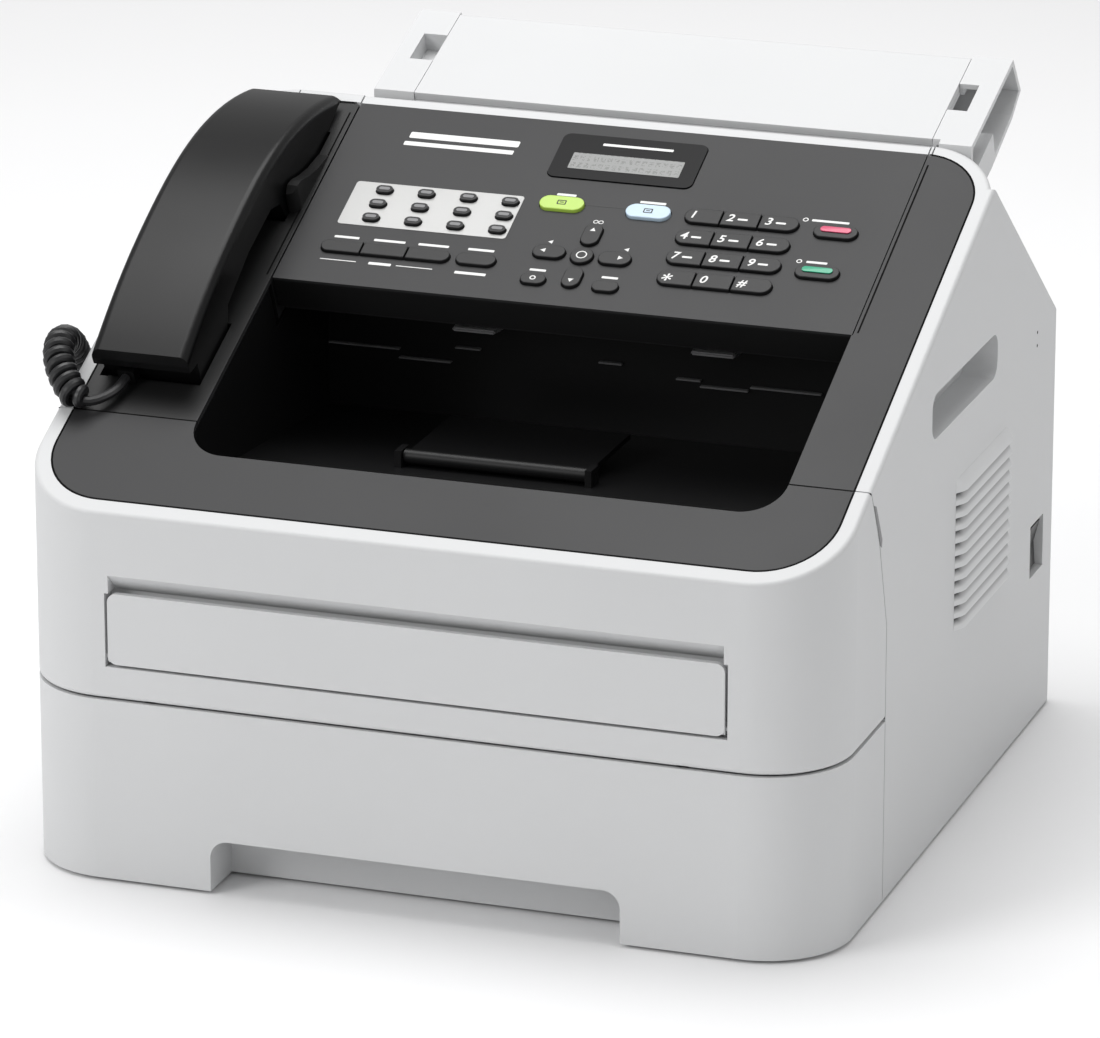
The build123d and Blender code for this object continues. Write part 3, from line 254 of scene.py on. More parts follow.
whiteBase = (0.60, 0.605, 0.61)
deckBase = (0.028, 0.028, 0.029)
deckShade = (0.021, 0.021, 0.022)
materials = {
    "casing_white": makeMaterial("casingWhite", whiteBase, (0.555, 0.56, 0.565), 0.5),
    "tray_white": makeMaterial("trayWhite", (0.62, 0.625, 0.63), (0.58, 0.585, 0.59), 0.46),
    "deck_grey": makeMaterial("deckGrey", deckBase, deckShade, 0.5, specular=0.35),
    "panel": makeMaterial(
        "panelGrey", (0.026, 0.026, 0.027), (0.019, 0.019, 0.02), 0.48,
        (
            {"where": belowDeckPaintedShade, "colour": (0.004, 0.004, 0.0042), "roughness": 0.5},
            {"where": rearStrip, "colour": whiteBase, "roughness": 0.5},
        ),
        specular=0.35,
    ),
    "deck_cover": makeMaterial(
        "deckCoverGrey", deckBase, deckShade, 0.5,
        ({"where": handsetSide, "colour": (0.007, 0.007, 0.0072), "roughness": 0.42},), specular=0.35,
    ),
    # Louvres: a white lighter than the casing white, as a painted highlight, with painted shade under each
    # slat
    "louvre_highlight_shade_white": makeMaterial(
        "louvreHighlightShadeWhite", (0.68, 0.685, 0.69), (0.63, 0.635, 0.64), 0.48,
        ({"where": slatPaintedShade, "colour": (0.055, 0.055, 0.057), "roughness": 0.6},),
    ),
    "bin_black": makeMaterial(
        "binBlack", (0.006, 0.006, 0.0064), (0.004, 0.004, 0.0043), 0.42, specular=0.3
    ),
    "handset_black": makeMaterial(
        "handsetBlack", (0.004, 0.004, 0.0042), (0.0028, 0.0028, 0.003), 0.33,
        grainDepth=0.000012, specular=0.24,
    ),
    "cord_black": makeMaterial(
        "cordBlack", (0.014, 0.014, 0.015), (0.008, 0.008, 0.009), 0.4, grain=1400.0
    ),
    "plug_clear": makeMaterial("plugSmoke", (0.05, 0.05, 0.052), (0.03, 0.03, 0.032), 0.2, coat=0.3),
    "key_black": makeMaterial(
        "keyBlack", (0.009, 0.009, 0.0095), (0.006, 0.006, 0.0065), 0.4, specular=0.35
    ),
    "key_lime": makeMaterial("keyLime", (0.42, 0.62, 0.09), (0.37, 0.56, 0.07), 0.32, coat=0.15),
    "key_blue": makeMaterial("keyBlue", (0.50, 0.63, 0.74), (0.45, 0.57, 0.68), 0.32, coat=0.15),
    "key_red": makeMaterial("barRed", (0.62, 0.07, 0.16), (0.54, 0.05, 0.12), 0.3, coat=0.2),
    "key_green": makeMaterial("barGreen", (0.02, 0.36, 0.20), (0.015, 0.30, 0.16), 0.3, coat=0.2),
    "lcd_glass": makeMaterial(
        "glassBlack", (0.004, 0.004, 0.0045), (0.003, 0.003, 0.0035), 0.3,
        specular=0.12, spread=0.02, grainDepth=0.000002,
    ),
    "lcd_window": makeMaterial(
        "lcdWindow", (0.27, 0.275, 0.27), (0.21, 0.215, 0.21), 0.3,
        ({"where": cellGrid, "colour": (0.035, 0.036, 0.036), "roughness": 0.3},),
        grainDepth=0.000003,
    ),
    "frame_steel": makeMaterial(
        "zincSteel", (0.56, 0.57, 0.58), (0.42, 0.43, 0.45), 0.36,
        metallic=1.0, grain=700.0, stretch=(1, 14, 1), spread=0.14, cloud=24.0, cloudDepth=0.9,
    ),
    "unit_black": makeMaterial("unitBlack", (0.028, 0.028, 0.03), (0.018, 0.018, 0.02), 0.5),
    "board_green": makeMaterial(
        "boardGreen", (0.03, 0.17, 0.075), (0.015, 0.10, 0.045), 0.3, cloud=60.0, cloudDepth=0.9
    ),
    "rubber_black": makeMaterial(
        "rubberBlack", (0.02, 0.02, 0.021), (0.012, 0.012, 0.013), 0.78, grainDepth=0.00006, grain=1500.0
    ),
    "ink_white": makeMaterial(
        "inkWhite", (0.78, 0.78, 0.77), (0.70, 0.70, 0.69), 0.5, grainDepth=0.000004
    ),
    "ink_dark": makeMaterial("inkDark", (0.012, 0.012, 0.012), (0.008, 0.008, 0.008), 0.5),
    "label_silver": makeMaterial(
        "labelSilver", (0.46, 0.46, 0.455), (0.36, 0.36, 0.355), 0.34,
        metallic=0.35, grain=500.0, stretch=(1, 22, 22), spread=0.1,
    ),
    "tab_grey": makeMaterial("tabGrey", (0.20, 0.20, 0.205), (0.15, 0.15, 0.155), 0.42),
    "guide_grey": makeMaterial("guideGrey", (0.50, 0.50, 0.51), (0.42, 0.42, 0.43), 0.4),
    # Near black for painted shade in gaps, seams and holes
    "painted_shade_black": makeMaterial(
        "paintedShadeBlack", (0.004, 0.004, 0.004), (0.003, 0.003, 0.003), 0.7, specular=0.05
    ),
    # Grey for painted shade in the cover notch and painted highlight on the bin ledges
    "painted_shade_highlight_grey": makeMaterial("paintedShadeHighlightGrey", (0.22, 0.22, 0.225), (0.17, 0.17, 0.175), 0.5),
    "screw_black": makeMaterial(
        "screwBlack", (0.10, 0.10, 0.105), (0.06, 0.06, 0.065), 0.35, metallic=0.9, cloud=120.0
    ),
}
print("materials made", len(materials))

# Nodes whose finish differs from their slot's
ownFinish = {
    "key_stop": "key_black", "key_start": "key_black", "power_switch": "key_black",
    "document_tray": "tray_white", "document_support": "tray_white",
    "handset_plug": "handset_black", "control_panel": "panel", "top_cover": "deck_cover",
}
for part in frame["record"]["subparts"]:
    name = part["node"]
    mesh = nodes[name].data
    mesh.materials.clear()
    mesh.materials.append(materials[ownFinish.get(name, part["material_slot"])])
print("CAD nodes painted")


# Cord: one spline along the route, and the wire wound round its middle
cordSettings = {
    "wire": 0.0044,
    "coilRadius": 0.0049,
    "pitch": 0.00475,
    "perTurn": 16,
    "sides": 10,
    "leadIn": 0.0245,
    "leadOut": 0.0400,
    "grow": 0.005,
}
routePoints = [
    (-158.0, -107.5, 205.7), (-158.5, -113.7, 203.0), (-162.5, -120.5, 200.3), (-169.0, -126.0, 198.6),
    (-175.0, -125.5, 201.2), (-181.2, -121.0, 206.6), (-186.5, -115.0, 212.5),
    (-190.0, -106.0, 217.0), (-191.8, -95.0, 216.5), (-192.6, -84.0, 210.0),
    (-193.4, -73.0, 195.0), (-193.0, -63.0, 168.0), (-192.8, -58.0, 140.0),
    (-192.8, -52.0, 108.0), (-193.0, -41.0, 72.0), (-193.4, -20.0, 42.0),
    (-193.8, 12.0, 25.0), (-194.0, 43.0, 28.0), (-194.0, 59.0, 44.0),
    (-198.5, 61.5, 56.0), (-206.0, 62.0, 64.0), (-206.5, 62.0, 72.0),
    (-197.0, 62.0, 72.0),
]


def routeOf(points):
    curve = bpy.data.curves.new("route", "CURVE")
    curve.dimensions = "3D"
    spline = curve.splines.new("NURBS")
    spline.points.add(len(points) - 1)
    for place, point in zip(points, spline.points):
        point.co = (place[0] * mm, place[1] * mm, place[2] * mm, 1)
    spline.order_u = 3
    spline.use_endpoint_u = True
    curve.resolution_u = 40
    holder = bpy.data.objects.new("route", curve)
    scene.collection.objects.link(holder)
    depsgraph = bpy.context.evaluated_depsgraph_get()
    mesh = bpy.data.meshes.new_from_object(holder.evaluated_get(depsgraph))
    line = [v.co.copy() for v in mesh.vertices]
    bpy.data.objects.remove(holder)
    bpy.data.meshes.remove(mesh)
    return line


# Distance, point, tangent, side and upper vectors at each point of a line, without twist
def frameAlong(line):
    rows = []
    walked = 0.0
    side = None
    for index, point in enumerate(line):
        ahead = line[min(index + 1, len(line) - 1)]
        behind = line[max(index - 1, 0)]
        tangent = (ahead - behind).normalized()
        if side is None:
            side = tangent.orthogonal().normalized()
        side = (side - tangent * side.dot(tangent)).normalized()
        if index:
            walked += (point - line[index - 1]).length
        rows.append((walked, point, tangent, side.copy(), tangent.cross(side)))
    return rows


def sample(rows, distance):
    low = 0
    high = len(rows) - 1
    while high - low > 1:
        middle = (low + high) // 2
        if rows[middle][0] <= distance:
            low = middle
        else:
            high = middle
    share = (distance - rows[low][0]) / max(rows[high][0] - rows[low][0], 1e-9)
    share = min(max(share, 0.0), 1.0)
    return [rows[low][k].lerp(rows[high][k], share) for k in (1, 2, 3, 4)]


def woundPath(line, s):
    rows = frameAlong(line)
    total = rows[-1][0]
    start = s["leadIn"]
    end = total - s["leadOut"]
    turns = (end - start) / s["pitch"]
    steps = int(turns * s["perTurn"])
    path = []
    for index in range(10):
        path.append(sample(rows, start * index / 10)[0])
    for index in range(steps + 1):
        along = start + (end - start) * index / steps
        point, tangent, side, upper = sample(rows, along)
        edge = min((along - start) / s["grow"], (end - along) / s["grow"], 1.0)
        radius = s["coilRadius"] * math.sin(edge * math.pi / 2)
        turn = 2 * math.pi * turns * index / steps
        path.append(point + (side * math.cos(turn) + upper * math.sin(turn)) * radius)
    for index in range(1, 13):
        path.append(sample(rows, end + (total - end) * index / 12)[0])
    return path


def tubeAlong(name, path, radius, sides, material):
    rows = frameAlong(path)
    shape = bmesh.new()
    rings = []
    for walked, point, tangent, side, upper in rows:
        ring = []
        for index in range(sides):
            angle = 2 * math.pi * index / sides
            ring.append(shape.verts.new(point + (side * math.cos(angle) + upper * math.sin(angle)) * radius))
        rings.append(ring)
    for first, second in zip(rings, rings[1:]):
        for index in range(sides):
            after = (index + 1) % sides
            shape.faces.new((first[index], first[after], second[after], second[index]))
    shape.faces.new(list(reversed(rings[0])))
    shape.faces.new(rings[-1])
    bmesh.ops.recalc_face_normals(shape, faces=shape.faces)
    return meshPiece(name, shape, material)


def meshPiece(name, shape, material, smooth=True):
    mesh = bpy.data.meshes.new(name)
    shape.to_mesh(mesh)
    shape.free()
    mesh.materials.clear()
    mesh.materials.append(material)
    if smooth:
        mesh.shade_smooth()
        mesh.set_sharp_from_angle(angle=math.radians(35))
    piece = bpy.data.objects.new(name, mesh)
    scene.collection.objects.link(piece)
    return piece


cordPath = woundPath(routeOf(routePoints), cordSettings)
cordLength = sum((b - a).length for a, b in zip(cordPath, cordPath[1:]))
curlyCord = tubeAlong(
    "curlyCord", cordPath, cordSettings["wire"] / 2, cordSettings["sides"], materials["cord_black"]
)
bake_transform(curlyCord)
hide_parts("handset_cord")
print("cord made", round(cordLength, 3), len(cordPath))


# Flat shapes drawn on a plane
def roundedOutline(centreX, centreY, wide, high, radius, steps=8):
    radius = min(radius, wide / 2 - 0.001, high / 2 - 0.001)
    points = []
    for signX, signY, begin in ((1, 1, 0), (-1, 1, 90), (-1, -1, 180), (1, -1, 270)):
        cornerX = centreX + signX * (wide / 2 - radius)
        cornerY = centreY + signY * (high / 2 - radius)
        for index in range(steps + 1):
            angle = math.radians(begin + 90 * index / steps)
            points.append((cornerX + radius * math.cos(angle), cornerY + radius * math.sin(angle)))
    return points


# A plate with those outlines and holes, in millimetres, standing on z 0
def flatMesh(outlines, thickness, bevel=0.0):
    curve = bpy.data.curves.new("flat", "CURVE")
    curve.dimensions = "2D"
    curve.fill_mode = "BOTH"
    for outline in outlines:
        spline = curve.splines.new("POLY")
        spline.points.add(len(outline) - 1)
        for place, point in zip(outline, spline.points):
            point.co = (place[0], place[1], 0, 1)
        spline.use_cyclic_u = True
    curve.extrude = thickness / 2 - bevel
    curve.bevel_depth = bevel
    curve.bevel_resolution = 2
    curve.offset = -bevel
    holder = bpy.data.objects.new("flat", curve)
    scene.collection.objects.link(holder)
    depsgraph = bpy.context.evaluated_depsgraph_get()
    mesh = bpy.data.meshes.new_from_object(holder.evaluated_get(depsgraph))
    bpy.data.objects.remove(holder)
    mesh.transform(Matrix.Translation((0, 0, thickness / 2)))
    return mesh


def textMesh(words, size, slant, thickness):
    curve = bpy.data.curves.new("print", "FONT")
    curve.body = words
    curve.size = size
    curve.shear = slant
    curve.align_x = "CENTER"
    curve.align_y = "CENTER"
    curve.extrude = thickness / 2
    curve.offset = 0.11
    curve.resolution_u = 5
    holder = bpy.data.objects.new("print", curve)
    scene.collection.objects.link(holder)
    depsgraph = bpy.context.evaluated_depsgraph_get()
    mesh = bpy.data.meshes.new_from_object(holder.evaluated_get(depsgraph))
    bpy.data.objects.remove(holder)
    mesh.transform(Matrix.Translation((0, 0, thickness / 2)))
    return mesh


# Joins flat meshes, given in millimetres on a plane, into one piece on a body
def placePiece(name, meshes, matrix, body, material, smooth=True):
    shape = bmesh.new()
    for mesh in meshes:
        shape.from_mesh(mesh)
        bpy.data.meshes.remove(mesh)
    bmesh.ops.remove_doubles(shape, verts=shape.verts, dist=0.0005)
    bmesh.ops.transform(shape, matrix=matrix @ Matrix.Scale(mm, 4), verts=shape.verts)
    piece = meshPiece(name, shape, material, smooth)
    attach(piece, body)
    return piece


def onDeck(lift):
    return deckMatrix @ Matrix.Translation((0, 0, lift * mm))


inkThick = 0.05
inkLift = 0.02
skinLift = 0.01


def bar(x, v, wide, high, radius=0.4):
    return flatMesh([roundedOutline(x, v, wide, high, radius)], inkThick)


def ring(x, v, radius, thick):
    outer = roundedOutline(x, v, 2 * radius, 2 * radius, radius, 6)
    inner = roundedOutline(x, v, 2 * (radius - thick), 2 * (radius - thick), radius - thick, 6)
    return flatMesh([outer, inner], inkThick)


def wedge(x, v, size, turn):
    points = []
    for angle in (90, 210, 330):
        a = math.radians(angle + turn)
        points.append((x + size * math.cos(a), v + size * math.sin(a)))
    return flatMesh([points], inkThick)


# Digits on the dial keys
digitSettings = {"size": 6.6, "slant": 0.18, "offset": 3.8, "markWide": 4.6, "markHigh": 1.2}
dial = {
    "1": "1", "2": "2", "3": "3", "4": "4", "5": "5", "6": "6",
    "7": "7", "8": "8", "9": "9", "star": "*", "0": "0", "hash": "#",
}
for key, digit in dial.items():
    node = "key_" + key
    low, high = deckBox(node)
    middle = (low.y + high.y) / 2
    large = 1.6 if key == "star" else 1.0
    mesh = textMesh(digit, digitSettings["size"] * large, digitSettings["slant"], inkThick)
    drop = -2.6 if key == "star" else 0
    mesh.transform(Matrix.Translation((low.x + digitSettings["offset"], middle + drop, 0)))
    prints = [mesh]
    if key in "23456789":
        prints.append(bar(low.x + 9.6, middle - 0.4, digitSettings["markWide"], digitSettings["markHigh"]))
    placePiece("digit_" + key, prints, onDeck(high.z + inkLift), node, materials["ink_white"])
print("digits printed")

# Marks on the other keys
def keyTop(node):
    low, high = deckBox(node)
    return (low.x + high.x) / 2, (low.y + high.y) / 2, high.z


def markKey(node, meshes, lift, ink):
    placePiece(node + "_mark", meshes, onDeck(lift + inkLift), node, materials[ink])


markSettings = {"off": 2.4, "size": 1.5, "ringThick": 0.55}
for node, turn, across, along in (
    ("key_up", 0, 0, 1), ("key_down", 180, 0, -1), ("key_left", 90, -1, 0), ("key_right", 270, 1, 0),
):
    x, v, top = keyTop(node)
    off = markSettings["off"]
    markKey(node, [wedge(x + across * off, v + along * off, markSettings["size"], turn)], top, "ink_white")
for node, size in (("key_ok", 2.5), ("key_clear", 1.4)):
    x, v, top = keyTop(node)
    markKey(node, [ring(x, v, size, markSettings["ringThick"])], top, "ink_white")
for node in ("key_fax", "key_copy"):
    x, v, top = keyTop(node)
    icon = [
        flatMesh([roundedOutline(x, v, 4.2, 3.0, 0.5), roundedOutline(x, v, 3.2, 2.0, 0.3)], inkThick),
        bar(x, v + 0.1, 1.8, 0.5, 0.1),
    ]
    markKey(node, icon, top, "ink_dark")
lensSettings = {"wide": 14.0, "high": 3.4, "thick": 0.5, "bevel": 0.15, "up": 0.6}
for node, colour in (("key_stop", "key_red"), ("key_start", "key_green")):
    x, v, top = keyTop(node)
    s = lensSettings
    outline = roundedOutline(x, v + s["up"], s["wide"], s["high"], s["high"] / 2)
    lens = flatMesh([outline], s["thick"], s["bevel"])
    placePiece(node + "_bar", [lens], onDeck(top + skinLift), node, materials[colour])
print("key marks made")

# Prints on the panel
printed = [
    bar(-62.8, 266.4, 52.0, 4.2, 0.8),
    bar(-63.8, 260.4, 52.0, 2.8, 0.5),
    bar(-4.5, 235.0, 9.0, 1.5),
    bar(35.8, 235.0, 12.0, 1.5),
    bar(118.0, 233.6, 17.0, 1.4),
    ring(106.6, 233.6, 1.3, 0.5),
    bar(119.6, 205.6, 9.5, 1.4),
    ring(111.6, 205.6, 1.3, 0.5),
    flatMesh(
        [roundedOutline(-37.5, 206.4, 7.4, 3.2, 1.6), roundedOutline(-37.5, 206.4, 6.6, 2.4, 1.2)],
        inkThick,
    ),
]
nameBars = {"key_hook": 0.62, "key_redial": 0.72, "key_resolution": 0.72, "key_options": 0.66}
for node, share in nameBars.items():
    low, high = deckBox(node)
    printed.append(bar((low.x + high.x) / 2, high.y + 2.6, (high.x - low.x) * share, 1.5))
for node in ("key_clear", "key_menu"):
    low, high = deckBox(node)
    printed.append(bar((low.x + high.x) / 2, high.y + 2.4, 7.5, 1.4))
hookLow, hookHigh = deckBox("key_hook")
lastLow, lastHigh = deckBox("key_resolution")
optionLow, optionHigh = deckBox("key_options")
under = hookLow.y - 3.4
printed += [
    bar(hookLow.x + 10.5, under, 17.0, 0.5, 0.2),
    bar((hookLow.x + lastHigh.x) / 2, under, 10.5, 1.7),
    bar(lastHigh.x - 14.0, under, 17.0, 0.5, 0.2),
    bar((optionLow.x + optionHigh.x) / 2, under - 0.4, 14.5, 1.7),
]
upLow, upHigh = deckBox("key_up")
leftLow, leftHigh = deckBox("key_left")
rightLow, rightHigh = deckBox("key_right")
printed += [
    ring((upLow.x + upHigh.x) / 2 - 1.2, upHigh.y + 2.6, 1.2, 0.4),
    ring((upLow.x + upHigh.x) / 2 + 1.2, upHigh.y + 2.6, 1.2, 0.4),
    wedge((leftLow.x + leftHigh.x) / 2 - 1.5, leftHigh.y + 2.4, 1.4, 90),
    wedge((rightLow.x + rightHigh.x) / 2 + 3.4, rightHigh.y + 2.4, 1.4, 90),
]
placePiece("panelPrint", printed, onDeck(inkLift), "control_panel", materials["ink_white"])
placePiece(
    "panelLine", [bar(15.8, 229.6, 21.5, 0.6, 0.2)],
    onDeck(inkLift), "control_panel", materials["ink_dark"],
)
lcdLow, lcdHigh = deckBox("display")
placePiece(
    "lcdWindow",
    [flatMesh([roundedOutline(16.1, 258.4, 52.0, 11.0, 0.6)], 0.12)],
    onDeck(lcdHigh.z + 0.01), "control_panel", materials["lcd_window"],
)
placePiece(
    "lcdPrint", [bar(18.0, 271.0, 33.0, 1.6)],
    onDeck(lcdHigh.z + inkLift), "control_panel", materials["ink_white"],
)
touchPlaces = [(x, v) for x in (-87.4, -67.6, -47.7, -28.0) for v in (226.0, 216.3, 206.5)]
labelHoles = [roundedOutline(x, v, 8.6, 5.6, 2.8, 6) for x, v in touchPlaces]
placePiece(
    "keyLabel",
    [flatMesh([roundedOutline(-62.4, 216.3, 79.2, 29.8, 1.6)] + labelHoles, 0.16, 0.03)],
    onDeck(0.01), "control_panel", materials["label_silver"], False,
)
touchLow, touchHigh = deckBox("one_touch_keys")
touchMarks = [flatMesh([roundedOutline(x, v + 0.2, 5.0, 1.9, 0.9)], inkThick) for x, v in touchPlaces]
placePiece(
    "oneTouchPads", touchMarks,
    onDeck(touchHigh.z + inkLift), "one_touch_keys", materials["tab_grey"],
)
print("panel printed")


# Geometry Nodes: copies one small source mesh to every place, turned the same way
def scatter(name, places, turn, source, material, body):
    cloud = bpy.data.meshes.new(name + "Points")
    cloud.from_pydata([tuple(place) for place in places], [], [])
    holder = bpy.data.objects.new(name, cloud)
    scene.collection.objects.link(holder)
    group = bpy.data.node_groups.new(name + "Nodes", "GeometryNodeTree")
    faces = group.interface
    faces.new_socket("Geometry", in_out="INPUT", socket_type="NodeSocketGeometry")
    shapeSocket = faces.new_socket("Shape", in_out="INPUT", socket_type="NodeSocketObject")
    turnSocket = faces.new_socket("Turn", in_out="INPUT", socket_type="NodeSocketVector")
    paintSocket = faces.new_socket("Paint", in_out="INPUT", socket_type="NodeSocketMaterial")
    faces.new_socket("Geometry", in_out="OUTPUT", socket_type="NodeSocketGeometry")
    start = group.nodes.new("NodeGroupInput")
    end = group.nodes.new("NodeGroupOutput")
    info = group.nodes.new("GeometryNodeObjectInfo")
    spread = group.nodes.new("GeometryNodeInstanceOnPoints")
    real = group.nodes.new("GeometryNodeRealizeInstances")
    paint = group.nodes.new("GeometryNodeSetMaterial")
    link = group.links.new
    link(start.outputs["Geometry"], spread.inputs["Points"])
    link(start.outputs["Shape"], info.inputs["Object"])
    link(info.outputs["Geometry"], spread.inputs["Instance"])
    link(start.outputs["Turn"], spread.inputs["Rotation"])
    link(spread.outputs["Instances"], real.inputs["Geometry"])
    link(real.outputs["Geometry"], paint.inputs["Geometry"])
    link(start.outputs["Paint"], paint.inputs["Material"])
    link(paint.outputs["Geometry"], end.inputs["Geometry"])
    modifier = holder.modifiers.new(name, "NODES")
    modifier.node_group = group
    modifier[shapeSocket.identifier] = source
    modifier[turnSocket.identifier] = turn
    modifier[paintSocket.identifier] = material
    depsgraph = bpy.context.evaluated_depsgraph_get()
    mesh = bpy.data.meshes.new_from_object(holder.evaluated_get(depsgraph))
    holder.modifiers.clear()
    holder.data = mesh
    mesh.shade_smooth()
    mesh.set_sharp_from_angle(angle=math.radians(35))
    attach(holder, body)
    return holder


# A pan head with a cross recess, standing on z 0
def screwSource(radius):
    shape = bmesh.new()
    profile = [(0.45, 0.53), (0.75, 0.42), (0.94, 0.2), (1.0, 0.0)]
    count = 24
    rings = []
    angles = [2 * math.pi * k / count for k in range(count)]
    for r, z in profile:
        rings.append([
            shape.verts.new((radius * r * math.cos(angle), radius * r * math.sin(angle), radius * z))
            for angle in angles
        ])
    shape.faces.new(rings[0])
    for first, second in zip(rings, rings[1:]):
        for k in range(count):
            n = (k + 1) % count
            shape.faces.new((second[k], second[n], first[n], first[k]))
    shape.faces.new(list(reversed(rings[-1])))
    head = meshPiece("screwHead", shape, materials["screw_black"])
    for along, across in ((1.2, 0.26), (0.26, 1.2)):
        cutter = bmesh.new()
        bmesh.ops.create_cube(cutter, size=1.0)
        size = Matrix.Diagonal((radius * along, radius * across, radius * 0.5, 1))
        place = Matrix.Translation((0, 0, radius * 0.5))
        bmesh.ops.transform(cutter, matrix=place @ size, verts=cutter.verts)
        tool = meshPiece("screwCut", cutter, materials["screw_black"], False)
        modifier = head.modifiers.new("cut", "BOOLEAN")
        modifier.object = tool
        modifier.operation = "DIFFERENCE"
        modifier.solver = "EXACT"
        depsgraph = bpy.context.evaluated_depsgraph_get()
        mesh = bpy.data.meshes.new_from_object(head.evaluated_get(depsgraph))
        head.modifiers.clear()
        head.data = mesh
        bpy.data.objects.remove(tool)
    return head


# Bin's rear wall: sheet guides under the panel
guideSettings = {"x": (-45.0, 67.0), "wide": 20.0, "y": 24.0, "z": 199.4, "deep": 16.0, "high": 2.8}
for index, x in enumerate(guideSettings["x"]):
    shape = bmesh.new()
    half = guideSettings["wide"] / 2
    deep = guideSettings["deep"]
    high = guideSettings["high"]
    section = [(0, 0), (deep, -1.5), (deep, high), (deep * 0.35, high), (0, high * 0.55)]
    sides = []
    for end in (-half, half):
        sides.append([
            shape.verts.new(((x + end) * mm, (guideSettings["y"] + a) * mm, (guideSettings["z"] + b) * mm))
            for a, b in section
        ])
    shape.faces.new(sides[0])
    shape.faces.new(list(reversed(sides[1])))
    for k in range(len(section)):
        n = (k + 1) % len(section)
        shape.faces.new((sides[0][n], sides[0][k], sides[1][k], sides[1][n]))
    bmesh.ops.recalc_face_normals(shape, faces=shape.faces)
    bmesh.ops.bevel(shape, geom=shape.edges, offset=0.6 * mm, segments=2, affect="EDGES")
    guide = meshPiece(f"sheetGuide{index + 1}", shape, materials["guide_grey"])
    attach(guide, "root")
ledges = (
    (-118.8, -84.6, 184.5), (-84.9, -59.9, 180.6), (-58.0, -46.0, 187.9), (10.0, 21.0, 187.7),
    (46.4, 57.9, 183.7), (57.6, 80.0, 181.2), (81.0, 114.0, 183.1),
)


def ribs(name, rows, y, deep, high, bevel, material):  # bars across the bin, in millimetres
    shape = bmesh.new()
    for start, end, z in rows:
        made = bmesh.ops.create_cube(shape, size=1.0)["verts"]
        place = Matrix.Translation(((start + end) / 2 * mm, y * mm, z * mm))
        size = Matrix.Diagonal(((end - start) * mm, deep * mm, high * mm, 1))
        bmesh.ops.transform(shape, matrix=place @ size, verts=made)
    bmesh.ops.bevel(shape, geom=shape.edges, offset=bevel * mm, segments=3, affect="EDGES")
    piece = meshPiece(name, shape, materials[material])
    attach(piece, "root")


# The ledges are lighter than the black bin wall, as a painted highlight along them
ribs("binLedges", ledges, 36.8, 2.6, 0.8, 0.2, "painted_shade_highlight_grey")
ribs("binRidge", ((-118.8, -50.0, 158.6), (40.0, 147.4, 158.6)), -30.0, 3.0, 2.4, 0.8, "unit_black")
print("bin guides made")

# Painted shade: black strips drawn in the gaps round the deck and beside the panel
deckRun = 1 / math.cos(deckAngle)
splitY = -122.7
halfDeck = 177.0
gapWide = 0.9
frontSide = {"radius": 31.5, "y": -173.0}
rearSide = {"radius": 29.0, "y": 81.0}


def cornerArc(side, signX, signY, inset, steps=12):
    radius = side["radius"]
    points = []
    for index in range(steps + 1):
        angle = math.pi / 2 * index / steps
        x = signX * (halfDeck - radius + (radius - inset) * math.sin(angle))
        y = side["y"] - signY * radius + signY * (radius - inset) * math.cos(angle)
        points.append((x, (y + 180) * deckRun))
    return points


def placeGapShade(name, meshes, body):
    placePiece(name, meshes, onDeck(skinLift), body, materials["painted_shade_black"], False)


def arcsOf(inset):
    left, right = (cornerArc(frontSide, sign, -1, inset) for sign in (-1, 1))
    return left, right


stop = (splitY + 180 - 0.4) * deckRun
outerLeft, outerRight = arcsOf(0)
innerLeft, innerRight = arcsOf(gapWide)
outer = [(-halfDeck, stop)] + outerLeft[::-1] + outerRight + [(halfDeck, stop)]
inner = [(halfDeck - gapWide, stop)] + innerRight[::-1] + innerLeft + [(gapWide - halfDeck, stop)]
placeGapShade("trimGap", [flatMesh([outer + inner], inkThick)], "front_cover")
splitV = (splitY + 180) * deckRun
splitBars = [bar(-148.2, splitV + 0.35, 57.0, 0.7, 0.1), bar(162.6, splitV + 0.35, 28.0, 0.7, 0.1)]
placeGapShade("deckGaps", splitBars, "root")
rearStart = (splitY + 180.4) * deckRun
rearGaps = []
lastV = (rearSide["y"] + 180) * deckRun
for side, last in ((1, 149.2), (-1, 121.0)):
    outer = [p for p in cornerArc(rearSide, side, 1, 0) if abs(p[0]) > 149.5]
    inner = [p for p in cornerArc(rearSide, side, 1, gapWide) if abs(p[0]) > 149.5]
    ends = [(side * last, lastV), (side * last, lastV - gapWide * deckRun)]
    strip = [(side * halfDeck, rearStart)] + outer[::-1] + ends + inner
    rearGaps.append(flatMesh([strip + [(side * (halfDeck - gapWide), rearStart)]], inkThick))
placeGapShade("coverGaps", rearGaps, "root")
panelLow, panelHigh = deckBox("control_panel")
gapRun = 278.0 - 162.5
panelBars = [bar(x, 162.5 + gapRun / 2, 0.8, gapRun, 0.1) for x in (panelHigh.x + 0.05, panelLow.x - 0.05)]
placeGapShade("panelGaps", panelBars, "control_panel")
print("gaps drawn")

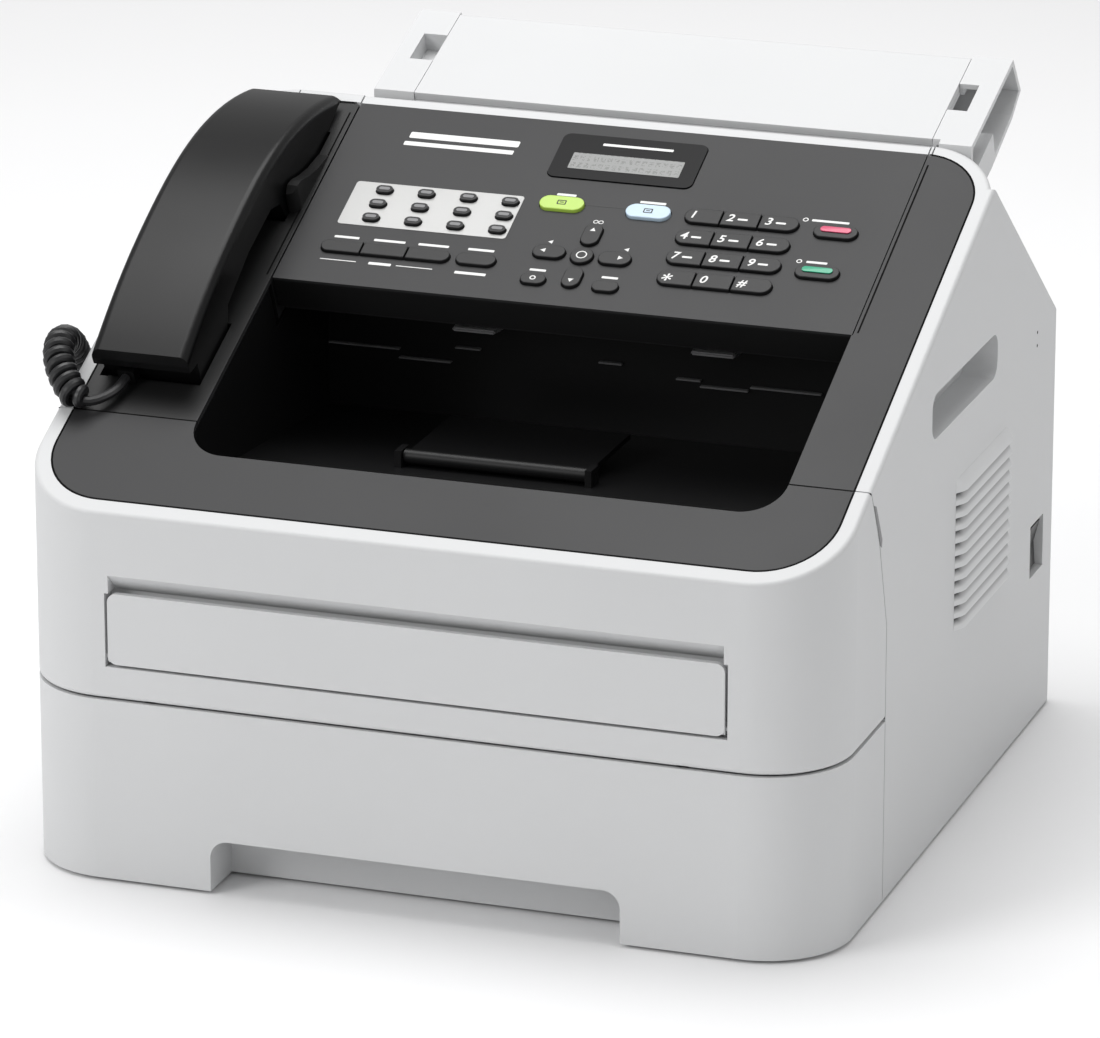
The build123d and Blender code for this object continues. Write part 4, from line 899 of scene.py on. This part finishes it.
# Painted shade on the sides: a grey plate for the recessed notch in the cover's edge, black strips in the
# side seams, and black discs for the small holes at the rear of the right side
sideMatrix = Matrix(((0, 0, 1, 0.184), (1, 0, 0, 0), (0, 1, 0, 0), (0, 0, 0, 1)))
notch = [
    (-118.6, 187.5), (-115.0, 186.0), (-109.8, 176.5), (-105.5, 168.5),
    (-106.0, 165.0), (-108.2, 166.5), (-112.6, 176.0),
]
placePiece(
    "coverNotch", [flatMesh([notch], 0.2, 0.05)],
    sideMatrix, "root", materials["painted_shade_highlight_grey"], False,
)
seamLine = [(-96.35, 84.9), (-96.35, 127.0), (-109.05, 168.0), (-122.2, 194.0)]
seamStrip = [(y - 0.28, z) for y, z in seamLine] + [(y + 0.28, z) for y, z in reversed(seamLine)]
for side, label in ((1, "rightSeam"), (-1, "leftSeam")):
    seamMatrix = Matrix(((0, 0, side, side * 0.1832), (1, 0, 0, 0), (0, 1, 0, 0), (0, 0, 0, 1)))
    strip = [flatMesh([seamStrip], 0.6)]
    placePiece(label, strip, seamMatrix, "root", materials["painted_shade_black"], False)
placePiece(
    "sideHoles",
    [flatMesh([roundedOutline(140.5, z, 1.5, 1.5, 0.74, 6)], 0.06) for z in (182.7, 189.0)],
    sideMatrix, "root", materials["painted_shade_black"], False,
)


# One overlapping slat, its front end running back into the casing
def louvreSource(side, s):
    shape = bmesh.new()
    half = s["length"] / 2
    stations = [
        (-half, 0.02), (-half + 2.0, 0.35), (-half + 4.5, 0.75), (-half + 7.5, 1.0),
        (half - 2.5, 1.0), (half - 0.8, 0.7), (half, 0.05),
    ]
    loops = []
    for y, share in stations:
        out = s["proud"] * share
        section = [
            (0.02, s["pitch"] * 1.02), (out * 0.62 + 0.04, s["pitch"] * 0.55), (out + 0.06, 0.5),
            (out + 0.04, 0.05), (max(out - s["thick"], 0.03), 0.0), (0.02, s["pitch"] * 0.2),
        ]
        loops.append([shape.verts.new((side * x * mm, y * mm, z * mm)) for x, z in section])
    for first, second in zip(loops, loops[1:]):
        for k in range(len(first)):
            n = (k + 1) % len(first)
            shape.faces.new((first[k], first[n], second[n], second[k]))
    shape.faces.new(list(reversed(loops[0])))
    shape.faces.new(loops[-1])
    bmesh.ops.recalc_face_normals(shape, faces=shape.faces)
    return meshPiece("louvreSource", shape, materials["louvre_highlight_shade_white"])


for side, label in ((1, "rightLouvres"), (-1, "leftLouvres")):
    s = louvreSettings
    source = louvreSource(side, s)
    heights = [s["low"] + s["pitch"] * k for k in range(s["count"])]
    places = [(side * 0.184, s["middle"] * mm, z * mm) for z in heights]
    scatter(label, places, (0, 0, 0), source, materials["louvre_highlight_shade_white"], "root")
    bpy.data.objects.remove(source)
print("louvres set")

screw = screwSource(0.0032)
rearScrews = [(x, 0.1800, z) for x in (-0.158, 0.158) for z in (0.024, 0.170)]
outward = (-math.pi / 2, 0, 0)
scatter("rearScrews", rearScrews, outward, screw, materials["screw_black"], "root")
bpy.data.objects.remove(screw)
print("screws set")

# Floor, light and world
floorShape = bmesh.new()
bmesh.ops.create_grid(floorShape, x_segments=2, y_segments=2, size=6.0)
floorPaint = makeMaterial(
    "floorPale", (0.86, 0.86, 0.865), (0.84, 0.84, 0.845), 0.7, grainDepth=0.0, cloud=2.0
)
floor = meshPiece("floor", floorShape, floorPaint, False)


def softLight(name, place, target, size, power):
    light = bpy.data.lights.new(name, "AREA")
    light.shape = "RECTANGLE"
    light.size = size[0]
    light.size_y = size[1]
    light.energy = power
    holder = bpy.data.objects.new(name, light)
    scene.collection.objects.link(holder)
    holder.location = place
    holder.rotation_euler = (Vector(target) - Vector(place)).to_track_quat("-Z", "Y").to_euler()


softLight("overhead", (-0.3, 0.35, 2.4), (0, 0, 0.1), (2.2, 1.6), 47)
softLight("frontLeft", (-1.9, -2.2, 1.7), (0, 0, 0.15), (1.4, 1.4), 38)
softLight("rightFill", (2.6, -0.8, 1.3), (0, 0, 0.15), (1.4, 1.4), 8)
world = bpy.data.worlds.new("studio")
scene.world = world
world.use_nodes = True
world.node_tree.nodes["Background"].inputs[0].default_value = (1, 1, 1, 1)
world.node_tree.nodes["Background"].inputs[1].default_value = 0.47
scene.view_settings.view_transform = "Standard"
print("studio lit")
